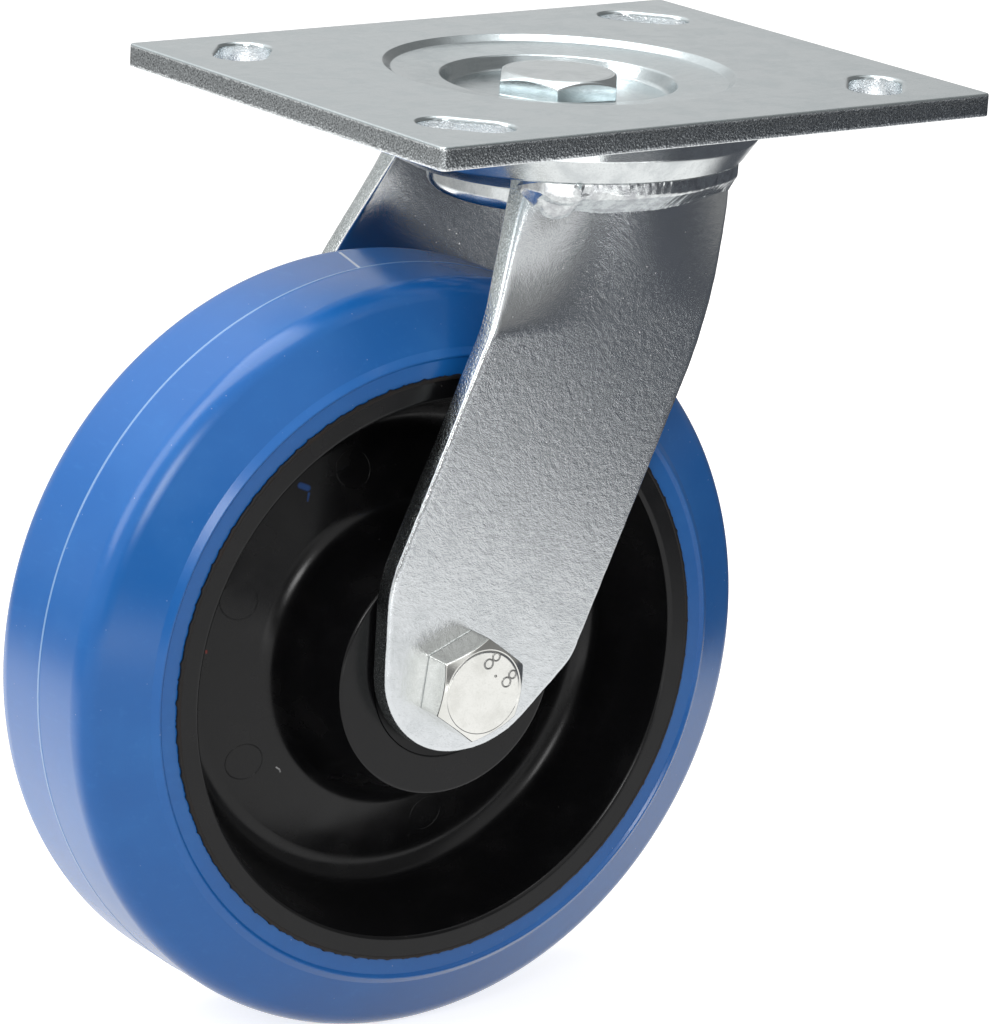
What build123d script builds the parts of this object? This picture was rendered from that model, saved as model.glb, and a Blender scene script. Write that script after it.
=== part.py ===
from build123d import *

import os
from math import atan2, cos, pi, radians, sin, sqrt, tan

# Swivel castor with a slotted top plate, a double ball race swivel head and a 160 mm wheel.
#
# Frame: the origin is the centre of the top plate's upper face, on the swivel axis. +Z is up and +X runs
# along the plate's long side. The fork is built with its wheel trailing towards -X and its left leg on
# the -Y side, and is then swung about the swivel axis by REST_SWING. Lengths are in millimetres and
# angles in degrees.

# Top plate
PLATE_LENGTH = 140.0
PLATE_WIDTH = 110.0
PLATE_THICKNESS = 4.8
PLATE_CORNER_RADIUS = 1.2
SLOT_SPACING_X = 105.0
SLOT_SPACING_Y = 77.5
SLOT_LENGTH = 20.5
SLOT_WIDTH = 11.6
SLOT_TURN = 49.0  # angle between a slot and the long side of the plate

# Dish pressed into the plate for the kingpin's head
STEP_OUTSIDE_BALLS = 3.9  # from the upper balls' pitch circle out to where the pressing starts
STEP_DEPTH = 1.25
STEP_RUN = 3.5  # radial width of the step's slope
SHELF_SLOPE = 1.1  # drop of the shelf from the step to the dish
DISH_DEPTH = 5.15
DISH_WALL = 4.1  # thickness of the dish's wall between the shelf and the upper ball track
DISH_DRAFT = 1.2
DISH_CORNER = 0.9
SHELF_OUTSIDE_BALLS = 1.2  # from the pitch circle out to the end of the shelf's underside
FLANK_RUN = 2.5  # radial width of the step's slope on the underside
PRESSING_MARGIN = 1.0
TRACK_END = 15.0  # how far short of a quarter turn a ball track stops on its wall

# Ball rows
UPPER_BALL_DIAMETER = 8.0
UPPER_PITCH_RADIUS = 32.6
LOWER_BALL_DIAMETER = 5.0
LOWER_PITCH_RADIUS = 21.8
BALL_SPACING_GAP = 0.05  # least gap between neighbouring balls
RACE_CLEARANCE = 0.15  # between a ball and its track

# Swivel head: a bowl that the balls run in
HEAD_THICKNESS = 5.0
HEAD_RIM_WALL = 5.6
HEAD_RIM_GAP = 0.9  # between the bowl's rim and the plate
HEAD_BAND_BELOW_BALLS = 0.8  # depth of the vertical band below the upper balls' centres
HEAD_BAND_INSET = 3.1
HEAD_BAND_DROP = 4.7
HEAD_FLOOR_INSET = 1.1  # from the upper balls' pitch circle in to the edge of the flat underside
HEAD_LOWER_TRACK_DEPTH = 1.2
HEAD_HOLE_CLEARANCE = 1.2

# Lower race: a cup clamped under the dish by the kingpin
LOWER_RACE_FLOOR = 2.1
LOWER_RACE_WALL = 1.9
LOWER_RACE_RIM_GAP = 0.85
LOWER_RACE_HUB_WALL = 2.6
LOWER_RACE_HUB_TOP = 4.0
LOWER_RACE_ROUND = 2.6

# Kingpin
KINGPIN_DIAMETER = 16.0
KINGPIN_HEAD_FLATS = 24.0
KINGPIN_HEAD_HEIGHT = 4.6
KINGPIN_HEAD_TURN = 51.5
KINGPIN_NUT_FLATS = 24.0
KINGPIN_NUT_HEIGHT = 12.0
KINGPIN_INSERT_HEIGHT = 4.0
KINGPIN_END = 2.0  # length of thread past the nut
KINGPIN_HOLE_CLEARANCE = 0.3
KINGPIN_NUT_ROOM = 0.55  # between the nut's corners and the race's hub round it

# Fork
FORK_GAP = 57.0  # between the inner faces of the legs
LEG_THICKNESS = 5.0
LEG_CURL_RADIUS = 35.0  # horizontal curve of a leg's outer face at LEG_CURL_TOP
LEG_CURL_TOP = -14.0
LEG_CURL_END = -46.0  # below this height a leg is flat
LEG_CURL_POWER = 1.5  # of the height above LEG_CURL_END, which the curvature grows with
LEG_CURL_STEPS = 5
LEG_SHEET_SHARE = 1.1  # width of the sheet that a leg is cut from, as a share of the leg's reach
LEG_ARC_SHARE = 0.92  # most of that width, as a share of the curl's inner radius
LEG_TOP_FRONT = 31.0
LEG_TOP_BACK = 21.4
LEG_NECK = (22.0, 29.0)  # hollow in the front edge, before and below the plate's centre
LEG_FRONT_BEND = (14.8, 54.1)
LEG_END_BELOW = 15.0  # from the axle to the foot of the leg
LEG_END_BEHIND = 18.9
LEG_BACK_BEND = 22.1  # height of the bend in the back edge above the axle
LEG_END_CORNER = 18.5
LEG_TOE = (26.8, 1.4)  # front corner of the foot, from the axle
LEG_HEEL = 9.3  # start of the toe's slope in front of the axle
LEG_NECK_ROUND = 60.0
LEG_FRONT_ROUND = 80.0
LEG_TOE_ROUND = 12.0
LEG_HEEL_ROUND = 22.0
LEG_BACK_ROUND = 25.0

# Weld beads between bowl and legs
WELD_BAND = 3.2  # height of the bead's upright face
WELD_TAPER = 1.0
WELD_FOOT = 5.8  # height of the bead on the leg below its upright face
WELD_ROOT = 1.5  # how far the bead is drawn into what it is then cut to
WELD_BACKING = 4.0
WELD_WRAP = 8.0  # how far the bead follows the leg's curl inwards from its flat inner face
WELD_FRONT = 27.6
WELD_FRONT_FOOT = 24.6  # front end at the bead's lower edge
WELD_BACK = 24.8

# Wheel
AXLE_TRAIL = 38.3  # from the swivel axis back to the axle
WHEEL_TOP_DROP = 37.9  # from the top of the plate down to the top of the wheel
REST_SWING = -3.0
WHEEL_DIAMETER = 160.0
TYRE_SIDE_GAP = 3.9  # between the tyre's side and a leg
TYRE_SHOULDER_RADIUS = 6.5
TYRE_FLANK_WIDTH = 7.9  # from the tyre's side in to the corner of the tread, before it is rounded
TYRE_FLANK_DEPTH = 12.2  # from the tread down to the ridge on the side
TYRE_RIDGE_WIDTH = 1.7
TYRE_RIDGE_HEIGHT = 0.45
TYRE_DEPTH = 18.0  # from the tread down to the rim
RIM_KEY_HEIGHT = 3.0  # rib round the rim that locks the tyre
RIM_KEY_HALF_WIDTH = 11.0
RIM_KEY_SLOPE = 2.0
RIM_LIP = 4.6
RIM_LIP_STAND = 0.3
RIM_FLANGE = 7.2  # radial run of the rim's sloping inside face
WEB_HALF_THICKNESS = 3.9
HUB_ROOT_RADIUS = 30.8
HUB_ROOT_HALF_WIDTH = 8.9
HUB_END_RADIUS = 25.6
HUB_END_GAP = 1.0  # between the hub and a leg
HUB_SHOULDER_WALL = 2.5  # how far the hub's inner shoulder stands in from the bearing seat
HUB_EDGE_ROUND = 0.8
HUB_ROOT_ROUND = 5.0
RIM_ROOT_ROUND = 5.0
RIM_EDGE_ROUND = 1.0

# Bearings, 17 x 35 x 10
AXLE_TUBE_DIAMETER = 17.0
BEARING_DIAMETER = 35.0
BEARING_WIDTH = 10.0
BEARING_DEPTH = 3.2  # from the hub's end to the bearing
BEARING_BALL_DIAMETER = 4.76
BEARING_BALL_COUNT = 10
BEARING_TRACK_CLEARANCE = 0.08
BEARING_TRACK_DEPTH = 0.6
CAGE_CLEARANCE = 0.15
CAGE_HALF_DEPTH = 1.1
CAGE_EDGE = 0.9  # width of the cage beside its pockets
SEAT_CLEARANCE = 0.02  # between a bearing, cap or spacer and its seat
SPACER_WALL = 2.0
CAP_CLEARANCE = 0.5  # between a dust cap and the spacer inside it
CAP_FACE = 1.2
CAP_SKIRT = 1.5
CAP_RIM_WIDTH = 2.0
CAP_RECESS = 0.4

# Axle bolt
AXLE_BOLT_DIAMETER = 12.0
AXLE_HOLE_CLEARANCE = 0.2
AXLE_HEAD_FLATS = 19.0
AXLE_HEAD_HEIGHT = 7.5
AXLE_HEAD_TURN = 77.0
AXLE_WASHER_DIAMETER = 24.0
AXLE_WASHER_THICKNESS = 2.5
WASHER_ROUND = 0.4
AXLE_NUT_HEIGHT = 9.0
AXLE_INSERT_HEIGHT = 3.0
AXLE_END = 2.5

BOLT_CHAMFER = 1.0
HEX_CONE = 30.0  # slope of the cone that turns off a hexagon's corners
HEX_FACE_INSET = 0.5  # from the flats in to the rim of the hexagon's end face
COLLAR_INSET = 1.2  # from the nut's flats in to its collar
COLLAR_ROUND = 1.5
COLLAR_WALL = 1.2
COLLAR_LIP = 0.8

# Heights worked out from the sizes above, downwards from the plate's upper face
UPPER_RACE_RADIUS = UPPER_BALL_DIAMETER / 2 + RACE_CLEARANCE
LOWER_RACE_RADIUS = LOWER_BALL_DIAMETER / 2 + RACE_CLEARANCE
SHELF_UNDERSIDE = -(STEP_DEPTH + PLATE_THICKNESS)
UPPER_BALL_Z = SHELF_UNDERSIDE - UPPER_RACE_RADIUS
DISH_UNDERSIDE = -(DISH_DEPTH + PLATE_THICKNESS)
HEAD_FLOOR = UPPER_BALL_Z - UPPER_RACE_RADIUS
HEAD_UNDERSIDE = HEAD_FLOOR - HEAD_THICKNESS
LOWER_BALL_Z = HEAD_UNDERSIDE + HEAD_LOWER_TRACK_DEPTH - LOWER_RACE_RADIUS
LOWER_RACE_Z = LOWER_BALL_Z - LOWER_RACE_RADIUS
LOWER_RACE_UNDERSIDE = LOWER_RACE_Z - LOWER_RACE_FLOOR
LOWER_RACE_RIM = HEAD_UNDERSIDE - LOWER_RACE_RIM_GAP
KINGPIN_NUT_SEAT = DISH_UNDERSIDE - LOWER_RACE_HUB_TOP

# Radii worked out from the sizes above
STEP_RADIUS = UPPER_PITCH_RADIUS + STEP_OUTSIDE_BALLS
KINGPIN_HOLE_RADIUS = KINGPIN_DIAMETER / 2 + KINGPIN_HOLE_CLEARANCE
UPPER_TRACK_WALL = UPPER_PITCH_RADIUS - UPPER_RACE_RADIUS
DISH_RADIUS = UPPER_TRACK_WALL - DISH_WALL
HEAD_INNER_RADIUS = UPPER_PITCH_RADIUS + UPPER_RACE_RADIUS
HEAD_OUTER_RADIUS = HEAD_INNER_RADIUS + HEAD_RIM_WALL
HEAD_BAND_Z = UPPER_BALL_Z - HEAD_BAND_BELOW_BALLS
LOWER_HUB_RADIUS = KINGPIN_NUT_FLATS / sqrt(3) + KINGPIN_NUT_ROOM + LOWER_RACE_HUB_WALL
HEAD_HOLE_RADIUS = LOWER_HUB_RADIUS + HEAD_HOLE_CLEARANCE
LOWER_RACE_OUTER = LOWER_PITCH_RADIUS + LOWER_RACE_RADIUS + LOWER_RACE_WALL

# Places of the wheel, from the fork's gap and the wheel's diameter
LEG_INNER = FORK_GAP / 2
LEG_OUTER = LEG_INNER + LEG_THICKNESS
AXLE_DROP = WHEEL_TOP_DROP + WHEEL_DIAMETER / 2
HUB_HALF_WIDTH = LEG_INNER - HUB_END_GAP
TYRE_HALF_WIDTH = LEG_INNER - TYRE_SIDE_GAP
RIM_RADIUS = WHEEL_DIAMETER / 2 - TYRE_DEPTH


def on_circle(u, v, radius, angle):
    """Point at an angle on a circle about (u, v)."""
    return (u + radius * cos(radians(angle)), v + radius * sin(radians(angle)))


def arc(u, v, radius, first, last):
    """Middle and end of the arc about (u, v) between two angles, as a step for traced()."""
    return (on_circle(u, v, radius, (first + last) / 2), on_circle(u, v, radius, last))


def traced(start, *steps):
    """Closed face traced from a start point. A step is the next corner, or an arc's (middle, end)."""
    edges = []
    here = start
    for step in steps:
        if isinstance(step[0], tuple):
            edges.append(ThreePointArc(here, step[0], step[1]))
            here = step[1]
        else:
            edges.append(Line(here, step))
            here = step
    edges.append(Line(here, start))
    return make_face(edges)


def rounded(*corners):
    """Closed face whose outline turns at each (u, v, radius) corner with that corner's radius."""
    steps = []
    for i, (u, v, radius) in enumerate(corners):
        corner = Vector(u, v)
        if radius == 0:
            steps.append((u, v))
            continue
        back = (Vector(*corners[i - 1][:2]) - corner).normalized()
        ahead = (Vector(*corners[(i + 1) % len(corners)][:2]) - corner).normalized()
        half = radians(back.get_angle(ahead)) / 2
        first = corner + back * (radius / tan(half))
        last = corner + ahead * (radius / tan(half))
        middle = corner + (back + ahead).normalized() * (radius / sin(half) - radius)
        steps.append((first.X, first.Y))
        steps.append(((middle.X, middle.Y), (last.X, last.Y)))
    if isinstance(steps[0][0], tuple):
        steps.append(steps.pop(0))
    return traced(*steps)


def turned(face):
    """Solid of revolution about Z of a face whose x is the radius and whose y is the height."""
    return revolve(Plane.XZ * face, Axis.Z)


def ring(outer, inner, low, high, rounding=0.0):
    """Plain ring about Z between two heights, its outer edge rounded at the high end."""
    return turned(rounded((inner, low, 0), (outer, low, 0), (outer, high, rounding), (inner, high, 0)))


def ball_row(diameter, pitch_radius, count, height):
    """Row of separate balls about Z."""
    balls = [place * Sphere(diameter / 2) for place in PolarLocations(pitch_radius, count)]
    return Pos(0, 0, height) * Compound(balls)


def balls_that_fit(diameter, pitch_radius):
    """Number of balls in a full row, side by side on the pitch circle."""
    half_angle = atan2((diameter + BALL_SPACING_GAP) / 2, pitch_radius)
    return int(pi / half_angle)


def hexagon(flats, low, high, turn=0.0):
    """Hexagonal prism about Z whose upper corners are turned off to a cone."""
    corner_radius = flats / sqrt(3)
    face_radius = flats / 2 - HEX_FACE_INSET
    drop = (corner_radius - face_radius) * tan(radians(HEX_CONE))
    blank = Rot(0, 0, turn) * RegularPolygon(corner_radius, 6)
    prism = Pos(0, 0, low) * extrude(blank, high - low)
    cone = turned(traced(
        (0, low), (corner_radius + 1, low), (corner_radius + 1, high - drop), (corner_radius, high - drop),
        (face_radius, high), (0, high),
    ))
    return prism & cone


def shank(radius, low, high):
    """Round shank about Z with a chamfered low end."""
    return turned(traced(
        (0, low), (radius - BOLT_CHAMFER, low), (radius, low + BOLT_CHAMFER), (radius, high), (0, high),
    ))


def lock_nut(flats, bore_radius, height, collar_height):
    """Lock nut seated on Z = 0, with a collar that is hollowed for its locking ring."""
    collar = flats / 2 - COLLAR_INSET
    body = hexagon(flats, 0, height) + ring(collar, 0, 0, height + collar_height, COLLAR_ROUND)
    body -= ring(bore_radius, 0, -1, height + collar_height + 1)
    return body - ring(collar - COLLAR_WALL, 0, height, height + collar_height - COLLAR_LIP)


def nut_insert(flats, bore_radius, height, collar_height):
    """Plastic locking ring in the collar of a lock nut."""
    outer = flats / 2 - COLLAR_INSET - COLLAR_WALL
    return ring(outer, bore_radius, height, height + collar_height - COLLAR_LIP)


def top_plate():
    """Flat plate with four diagonal slots and a dish pressed down in its middle."""
    edge = STEP_RADIUS + PRESSING_MARGIN
    flank = UPPER_PITCH_RADIUS + SHELF_OUTSIDE_BALLS
    slab = extrude(RectangleRounded(PLATE_LENGTH, PLATE_WIDTH, PLATE_CORNER_RADIUS), -PLATE_THICKNESS)
    slab -= ring(edge, 0, -2 * PLATE_THICKNESS, PLATE_THICKNESS)
    track_start = on_circle(UPPER_PITCH_RADIUS, UPPER_BALL_Z, UPPER_RACE_RADIUS, 180 - TRACK_END)
    pressing = turned(traced(
        (edge, -PLATE_THICKNESS),
        (edge, 0),
        (STEP_RADIUS, 0),
        (STEP_RADIUS - STEP_RUN, -STEP_DEPTH),
        (DISH_RADIUS + DISH_DRAFT, -STEP_DEPTH - SHELF_SLOPE),
        (DISH_RADIUS, -DISH_DEPTH),
        (KINGPIN_HOLE_RADIUS, -DISH_DEPTH),
        (KINGPIN_HOLE_RADIUS, DISH_UNDERSIDE),
        (track_start[0] - DISH_CORNER, DISH_UNDERSIDE),
        track_start,
        arc(UPPER_PITCH_RADIUS, UPPER_BALL_Z, UPPER_RACE_RADIUS, 180 - TRACK_END, 90),
        (flank, SHELF_UNDERSIDE),
        (flank + FLANK_RUN, -PLATE_THICKNESS),
    ))
    slots = [
        Pos(i * SLOT_SPACING_X / 2, j * SLOT_SPACING_Y / 2)
        * Rot(0, 0, -SLOT_TURN * i * j)
        * SlotOverall(SLOT_LENGTH, SLOT_WIDTH)
        for i in (-1, 1)
        for j in (-1, 1)
    ]
    return slab + pressing - extrude(Sketch() + slots, -PLATE_THICKNESS)


def kingpin_bolt():
    """Bolt whose low hexagon head sits on the floor of the dish."""
    end = KINGPIN_NUT_SEAT - KINGPIN_NUT_HEIGHT - KINGPIN_INSERT_HEIGHT - KINGPIN_END
    head = hexagon(KINGPIN_HEAD_FLATS, -DISH_DEPTH, KINGPIN_HEAD_HEIGHT - DISH_DEPTH, KINGPIN_HEAD_TURN)
    return head + shank(KINGPIN_DIAMETER / 2, end, -DISH_DEPTH)


def lower_race():
    """Cup clamped under the dish, with the lower ball track round its hub."""
    track = (LOWER_PITCH_RADIUS, LOWER_BALL_Z, LOWER_RACE_RADIUS)
    track_start = on_circle(*track, 180 + TRACK_END)
    neck = track_start[1] + track_start[0] - LOWER_HUB_RADIUS
    nut_room = LOWER_HUB_RADIUS - LOWER_RACE_HUB_WALL
    corner = (LOWER_RACE_OUTER - LOWER_RACE_ROUND, LOWER_RACE_UNDERSIDE + LOWER_RACE_ROUND)
    return turned(traced(
        track_start,
        arc(*track, 180 + TRACK_END, 360),
        (LOWER_RACE_OUTER - LOWER_RACE_WALL, LOWER_RACE_RIM),
        (LOWER_RACE_OUTER, LOWER_RACE_RIM),
        (LOWER_RACE_OUTER, corner[1]),
        arc(*corner, LOWER_RACE_ROUND, 0, -90),
        (nut_room + LOWER_RACE_HUB_WALL, LOWER_RACE_UNDERSIDE),
        (nut_room, LOWER_RACE_UNDERSIDE + LOWER_RACE_HUB_WALL),
        (nut_room, KINGPIN_NUT_SEAT),
        (KINGPIN_HOLE_RADIUS, KINGPIN_NUT_SEAT),
        (KINGPIN_HOLE_RADIUS, DISH_UNDERSIDE),
        (LOWER_HUB_RADIUS, DISH_UNDERSIDE),
        (LOWER_HUB_RADIUS, neck),
    ))


def head_outline():
    """Outer profile of the bowl from its rim down to the edge of its flat underside."""
    band = HEAD_OUTER_RADIUS - HEAD_BAND_INSET
    return [
        (HEAD_OUTER_RADIUS, HEAD_BAND_Z),
        (band, HEAD_BAND_Z - HEAD_BAND_DROP),
        (UPPER_PITCH_RADIUS - HEAD_FLOOR_INSET, HEAD_UNDERSIDE),
    ]


def swivel_head():
    """Bowl that hangs on the lower balls and carries the upper balls in the corner of its floor."""
    rim = -PLATE_THICKNESS - HEAD_RIM_GAP
    half = sqrt(LOWER_RACE_RADIUS**2 - (HEAD_UNDERSIDE - LOWER_BALL_Z) ** 2)
    return turned(traced(
        (HEAD_OUTER_RADIUS, rim),
        *head_outline(),
        (LOWER_PITCH_RADIUS + half, HEAD_UNDERSIDE),
        ((LOWER_PITCH_RADIUS, LOWER_BALL_Z + LOWER_RACE_RADIUS), (LOWER_PITCH_RADIUS - half, HEAD_UNDERSIDE)),
        (HEAD_HOLE_RADIUS, HEAD_UNDERSIDE),
        (HEAD_HOLE_RADIUS, HEAD_FLOOR),
        (UPPER_PITCH_RADIUS, HEAD_FLOOR),
        arc(UPPER_PITCH_RADIUS, UPPER_BALL_Z, UPPER_RACE_RADIUS, -90, 0),
        (HEAD_INNER_RADIUS, rim),
    ))


def above_head():
    """Everything above the bowl's outer surface, to cut the legs and weld beads to it."""
    far = 2 * HEAD_OUTER_RADIUS
    return turned(traced((0, 0), (far, 0), (far, HEAD_BAND_Z), *head_outline(), (0, HEAD_UNDERSIDE)))


def curled_slab(inner, outer):
    """Upright slab on the +Y side between two distances, flat below and curled round the bowl at its top."""
    widest = LEG_SHEET_SHARE * (AXLE_TRAIL + LEG_END_BEHIND)
    flat = traced((-widest, outer), (widest, outer), (widest, inner), (-widest, inner))
    sections = [Pos(0, 0, LEG_CURL_END) * flat]
    for step in range(1, LEG_CURL_STEPS + 1):
        share = step / LEG_CURL_STEPS
        height = LEG_CURL_END + (LEG_CURL_TOP - LEG_CURL_END) * share
        radius = LEG_CURL_RADIUS / share**LEG_CURL_POWER
        inside = radius - (outer - inner)
        reach = min(widest, LEG_ARC_SHARE * inside)
        lift = outer - radius + sqrt(radius**2 - reach**2)
        dip = outer - radius + sqrt(inside**2 - reach**2)
        section = traced(
            (-reach, lift), ((0, outer), (reach, lift)), (reach, dip), ((0, inner), (-reach, dip))
        )
        sections.append(Pos(0, 0, height) * section)
    floor = -AXLE_DROP - 2 * LEG_END_BELOW
    return loft(sections) + extrude(sections[0], floor - LEG_CURL_END)


def leg_outline():
    """Side outline of a leg, from the bowl down to its foot round the axle."""
    back = -AXLE_TRAIL - LEG_END_BEHIND
    foot = -AXLE_DROP - LEG_END_BELOW
    return rounded(
        (-LEG_TOP_BACK, HEAD_BAND_Z, 0),
        (LEG_TOP_FRONT, HEAD_BAND_Z, 0),
        (LEG_NECK[0], -LEG_NECK[1], LEG_NECK_ROUND),
        (LEG_FRONT_BEND[0], -LEG_FRONT_BEND[1], LEG_FRONT_ROUND),
        (-AXLE_TRAIL + LEG_TOE[0], -AXLE_DROP + LEG_TOE[1], LEG_TOE_ROUND),
        (-AXLE_TRAIL + LEG_HEEL, foot, LEG_HEEL_ROUND),
        (back, foot, LEG_END_CORNER),
        (back, -AXLE_DROP + LEG_BACK_BEND, LEG_BACK_ROUND),
    )


def right_leg():
    """Leg on the +Y side, cut to the bowl at its top and drilled for the axle bolt."""
    blank = extrude(Plane.XZ * leg_outline(), -2 * LEG_OUTER)
    hole = Cylinder(AXLE_BOLT_DIAMETER / 2 + AXLE_HOLE_CLEARANCE, 6 * LEG_OUTER)
    return (blank & curled_slab(LEG_INNER, LEG_OUTER)) - above_head() - at_axle(hole)


def right_weld():
    """Weld bead that fills the corner between the bowl and the outer face of the +Y leg."""
    top = HEAD_OUTER_RADIUS - HEAD_BAND_INSET
    high = HEAD_BAND_Z - HEAD_BAND_DROP
    low = high - WELD_BAND - WELD_FOOT
    foot = LEG_OUTER - WELD_ROOT
    bead = turned(traced(
        (top, high + WELD_ROOT), (top, high), (top - WELD_TAPER, high - WELD_BAND), (foot, low),
        (foot - WELD_ROOT, low), (foot - WELD_ROOT, high + WELD_ROOT),
    ))
    side = traced(
        (-WELD_BACK, low), (WELD_FRONT_FOOT, low), (WELD_FRONT, high - WELD_ROOT),
        (WELD_FRONT, high + WELD_ROOT), (-WELD_BACK, high + WELD_ROOT),
    )
    bead = bead & extrude(Plane.XZ.offset(WELD_WRAP - LEG_INNER) * side, -LEG_OUTER)
    return bead - above_head() - curled_slab(LEG_INNER - WELD_BACKING, LEG_OUTER)


def left(shape):
    """The same piece on the -Y side."""
    return mirror(shape, Plane.XZ)


def at_axle(shape):
    """A piece made about +Z, laid along the axle with its top towards +Y."""
    return Pos(-AXLE_TRAIL, 0, -AXLE_DROP) * Rot(-90, 0, 0) * shape


def axle_bolt():
    """Bolt through both legs, its head outside the left leg."""
    end = LEG_OUTER + AXLE_WASHER_THICKNESS + AXLE_NUT_HEIGHT + AXLE_INSERT_HEIGHT + AXLE_END
    head = hexagon(AXLE_HEAD_FLATS, LEG_OUTER, LEG_OUTER + AXLE_HEAD_HEIGHT, AXLE_HEAD_TURN)
    return Rot(180, 0, 0) * (head + shank(AXLE_BOLT_DIAMETER / 2, -end, LEG_OUTER))


def wheel_centre():
    """Moulded centre: a rim with a key rib for the tyre, a web and a hub with a seat for each bearing."""
    seat = BEARING_DIAMETER / 2
    shoulder = HUB_HALF_WIDTH - BEARING_DEPTH - BEARING_WIDTH
    side = TYRE_HALF_WIDTH + RIM_LIP_STAND
    half = [
        (seat - HUB_SHOULDER_WALL, shoulder, 0),
        (seat, shoulder, 0),
        (seat, HUB_HALF_WIDTH, 0),
        (HUB_END_RADIUS, HUB_HALF_WIDTH, HUB_EDGE_ROUND),
        (HUB_ROOT_RADIUS, HUB_ROOT_HALF_WIDTH, HUB_ROOT_ROUND),
        (RIM_RADIUS - RIM_LIP - RIM_FLANGE, WEB_HALF_THICKNESS, RIM_ROOT_ROUND),
        (RIM_RADIUS - RIM_LIP, side, RIM_EDGE_ROUND),
        (RIM_RADIUS, side, RIM_LIP_STAND),
        (RIM_RADIUS, RIM_KEY_HALF_WIDTH + RIM_KEY_SLOPE, 0),
        (RIM_RADIUS + RIM_KEY_HEIGHT, RIM_KEY_HALF_WIDTH, 0),
    ]
    return turned(rounded(*half, *[(u, -v, r) for u, v, r in reversed(half)]))


def tyre():
    """Rubber tyre with a flat tread, bevelled flanks and a raised ring round each side."""
    tread = WHEEL_DIAMETER / 2
    ridge = tread - TYRE_FLANK_DEPTH
    side = TYRE_HALF_WIDTH
    half = [
        (RIM_RADIUS + RIM_KEY_HEIGHT, RIM_KEY_HALF_WIDTH, 0),
        (RIM_RADIUS, RIM_KEY_HALF_WIDTH + RIM_KEY_SLOPE, 0),
        (RIM_RADIUS, side, 0),
        (ridge - TYRE_RIDGE_WIDTH, side, 0),
        (ridge - TYRE_RIDGE_WIDTH + TYRE_RIDGE_HEIGHT, side + TYRE_RIDGE_HEIGHT, 0),
        (ridge - TYRE_RIDGE_HEIGHT, side + TYRE_RIDGE_HEIGHT, 0),
        (ridge, side, 0),
        (tread, side - TYRE_FLANK_WIDTH, TYRE_SHOULDER_RADIUS),
    ]
    return turned(rounded(*half, *[(u, -v, r) for u, v, r in reversed(half)]))


def bearing():
    """Inner ring, outer ring, balls and cage of a ball bearing about Z, centred on Z = 0."""
    bore = AXLE_TUBE_DIAMETER / 2
    outside = BEARING_DIAMETER / 2
    pitch = (bore + outside) / 2
    track_radius = BEARING_BALL_DIAMETER / 2 + BEARING_TRACK_CLEARANCE
    track = Torus(pitch, track_radius)
    land = track_radius - BEARING_TRACK_DEPTH
    half = BEARING_WIDTH / 2
    inner = ring(pitch - land, bore + SEAT_CLEARANCE, -half, half) - track
    outer = ring(outside - SEAT_CLEARANCE, pitch + land, -half, half) - track
    pocket = BEARING_BALL_DIAMETER / 2 + CAGE_CLEARANCE
    edge = pocket + CAGE_EDGE
    cage = ring(pitch + CAGE_HALF_DEPTH, pitch - CAGE_HALF_DEPTH, -edge, edge)
    hole = Rot(0, 90, 0) * Cylinder(pocket, 4 * CAGE_HALF_DEPTH)
    cage -= [place * hole for place in PolarLocations(pitch, BEARING_BALL_COUNT)]
    return inner, outer, ball_row(BEARING_BALL_DIAMETER, pitch, BEARING_BALL_COUNT, 0), cage


def bearing_spacer():
    """Sleeve between the upper bearing's inner ring and the leg."""
    bore = AXLE_TUBE_DIAMETER / 2 + SEAT_CLEARANCE
    return ring(bore + SPACER_WALL, bore, HUB_HALF_WIDTH - BEARING_DEPTH, LEG_INNER)


def dust_cap():
    """Plastic cap pressed into the upper end of the hub, round the spacer."""
    outside = BEARING_DIAMETER / 2 - SEAT_CLEARANCE
    hole = AXLE_TUBE_DIAMETER / 2 + SEAT_CLEARANCE + SPACER_WALL + CAP_CLEARANCE
    end = HUB_HALF_WIDTH
    return turned(traced(
        (hole, end - CAP_RECESS),
        (outside - CAP_RIM_WIDTH, end - CAP_RECESS),
        (outside - CAP_RIM_WIDTH, end),
        (outside, end),
        (outside, end - BEARING_DEPTH),
        (outside - CAP_SKIRT, end - BEARING_DEPTH),
        (outside - CAP_SKIRT, end - CAP_RECESS - CAP_FACE),
        (hole, end - CAP_RECESS - CAP_FACE),
    ))


def plate_pieces():
    """Pieces fixed to what the castor is bolted to, and the two ball rows."""
    kingpin_bore = KINGPIN_DIAMETER / 2 + SEAT_CLEARANCE
    nut_sizes = (KINGPIN_NUT_FLATS, kingpin_bore, KINGPIN_NUT_HEIGHT, KINGPIN_INSERT_HEIGHT)
    hang = Pos(0, 0, KINGPIN_NUT_SEAT) * Rot(180, 0, KINGPIN_HEAD_TURN)
    upper_count = balls_that_fit(UPPER_BALL_DIAMETER, UPPER_PITCH_RADIUS)
    lower_count = balls_that_fit(LOWER_BALL_DIAMETER, LOWER_PITCH_RADIUS)
    return {
        "top_plate": top_plate(),
        "kingpin_bolt": kingpin_bolt(),
        "lower_race": lower_race(),
        "kingpin_nut": hang * lock_nut(*nut_sizes),
        "kingpin_nut_insert": hang * nut_insert(*nut_sizes),
        "upper_ball_row": ball_row(UPPER_BALL_DIAMETER, UPPER_PITCH_RADIUS, upper_count, UPPER_BALL_Z),
        "lower_ball_row": ball_row(LOWER_BALL_DIAMETER, LOWER_PITCH_RADIUS, lower_count, LOWER_BALL_Z),
    }


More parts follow.
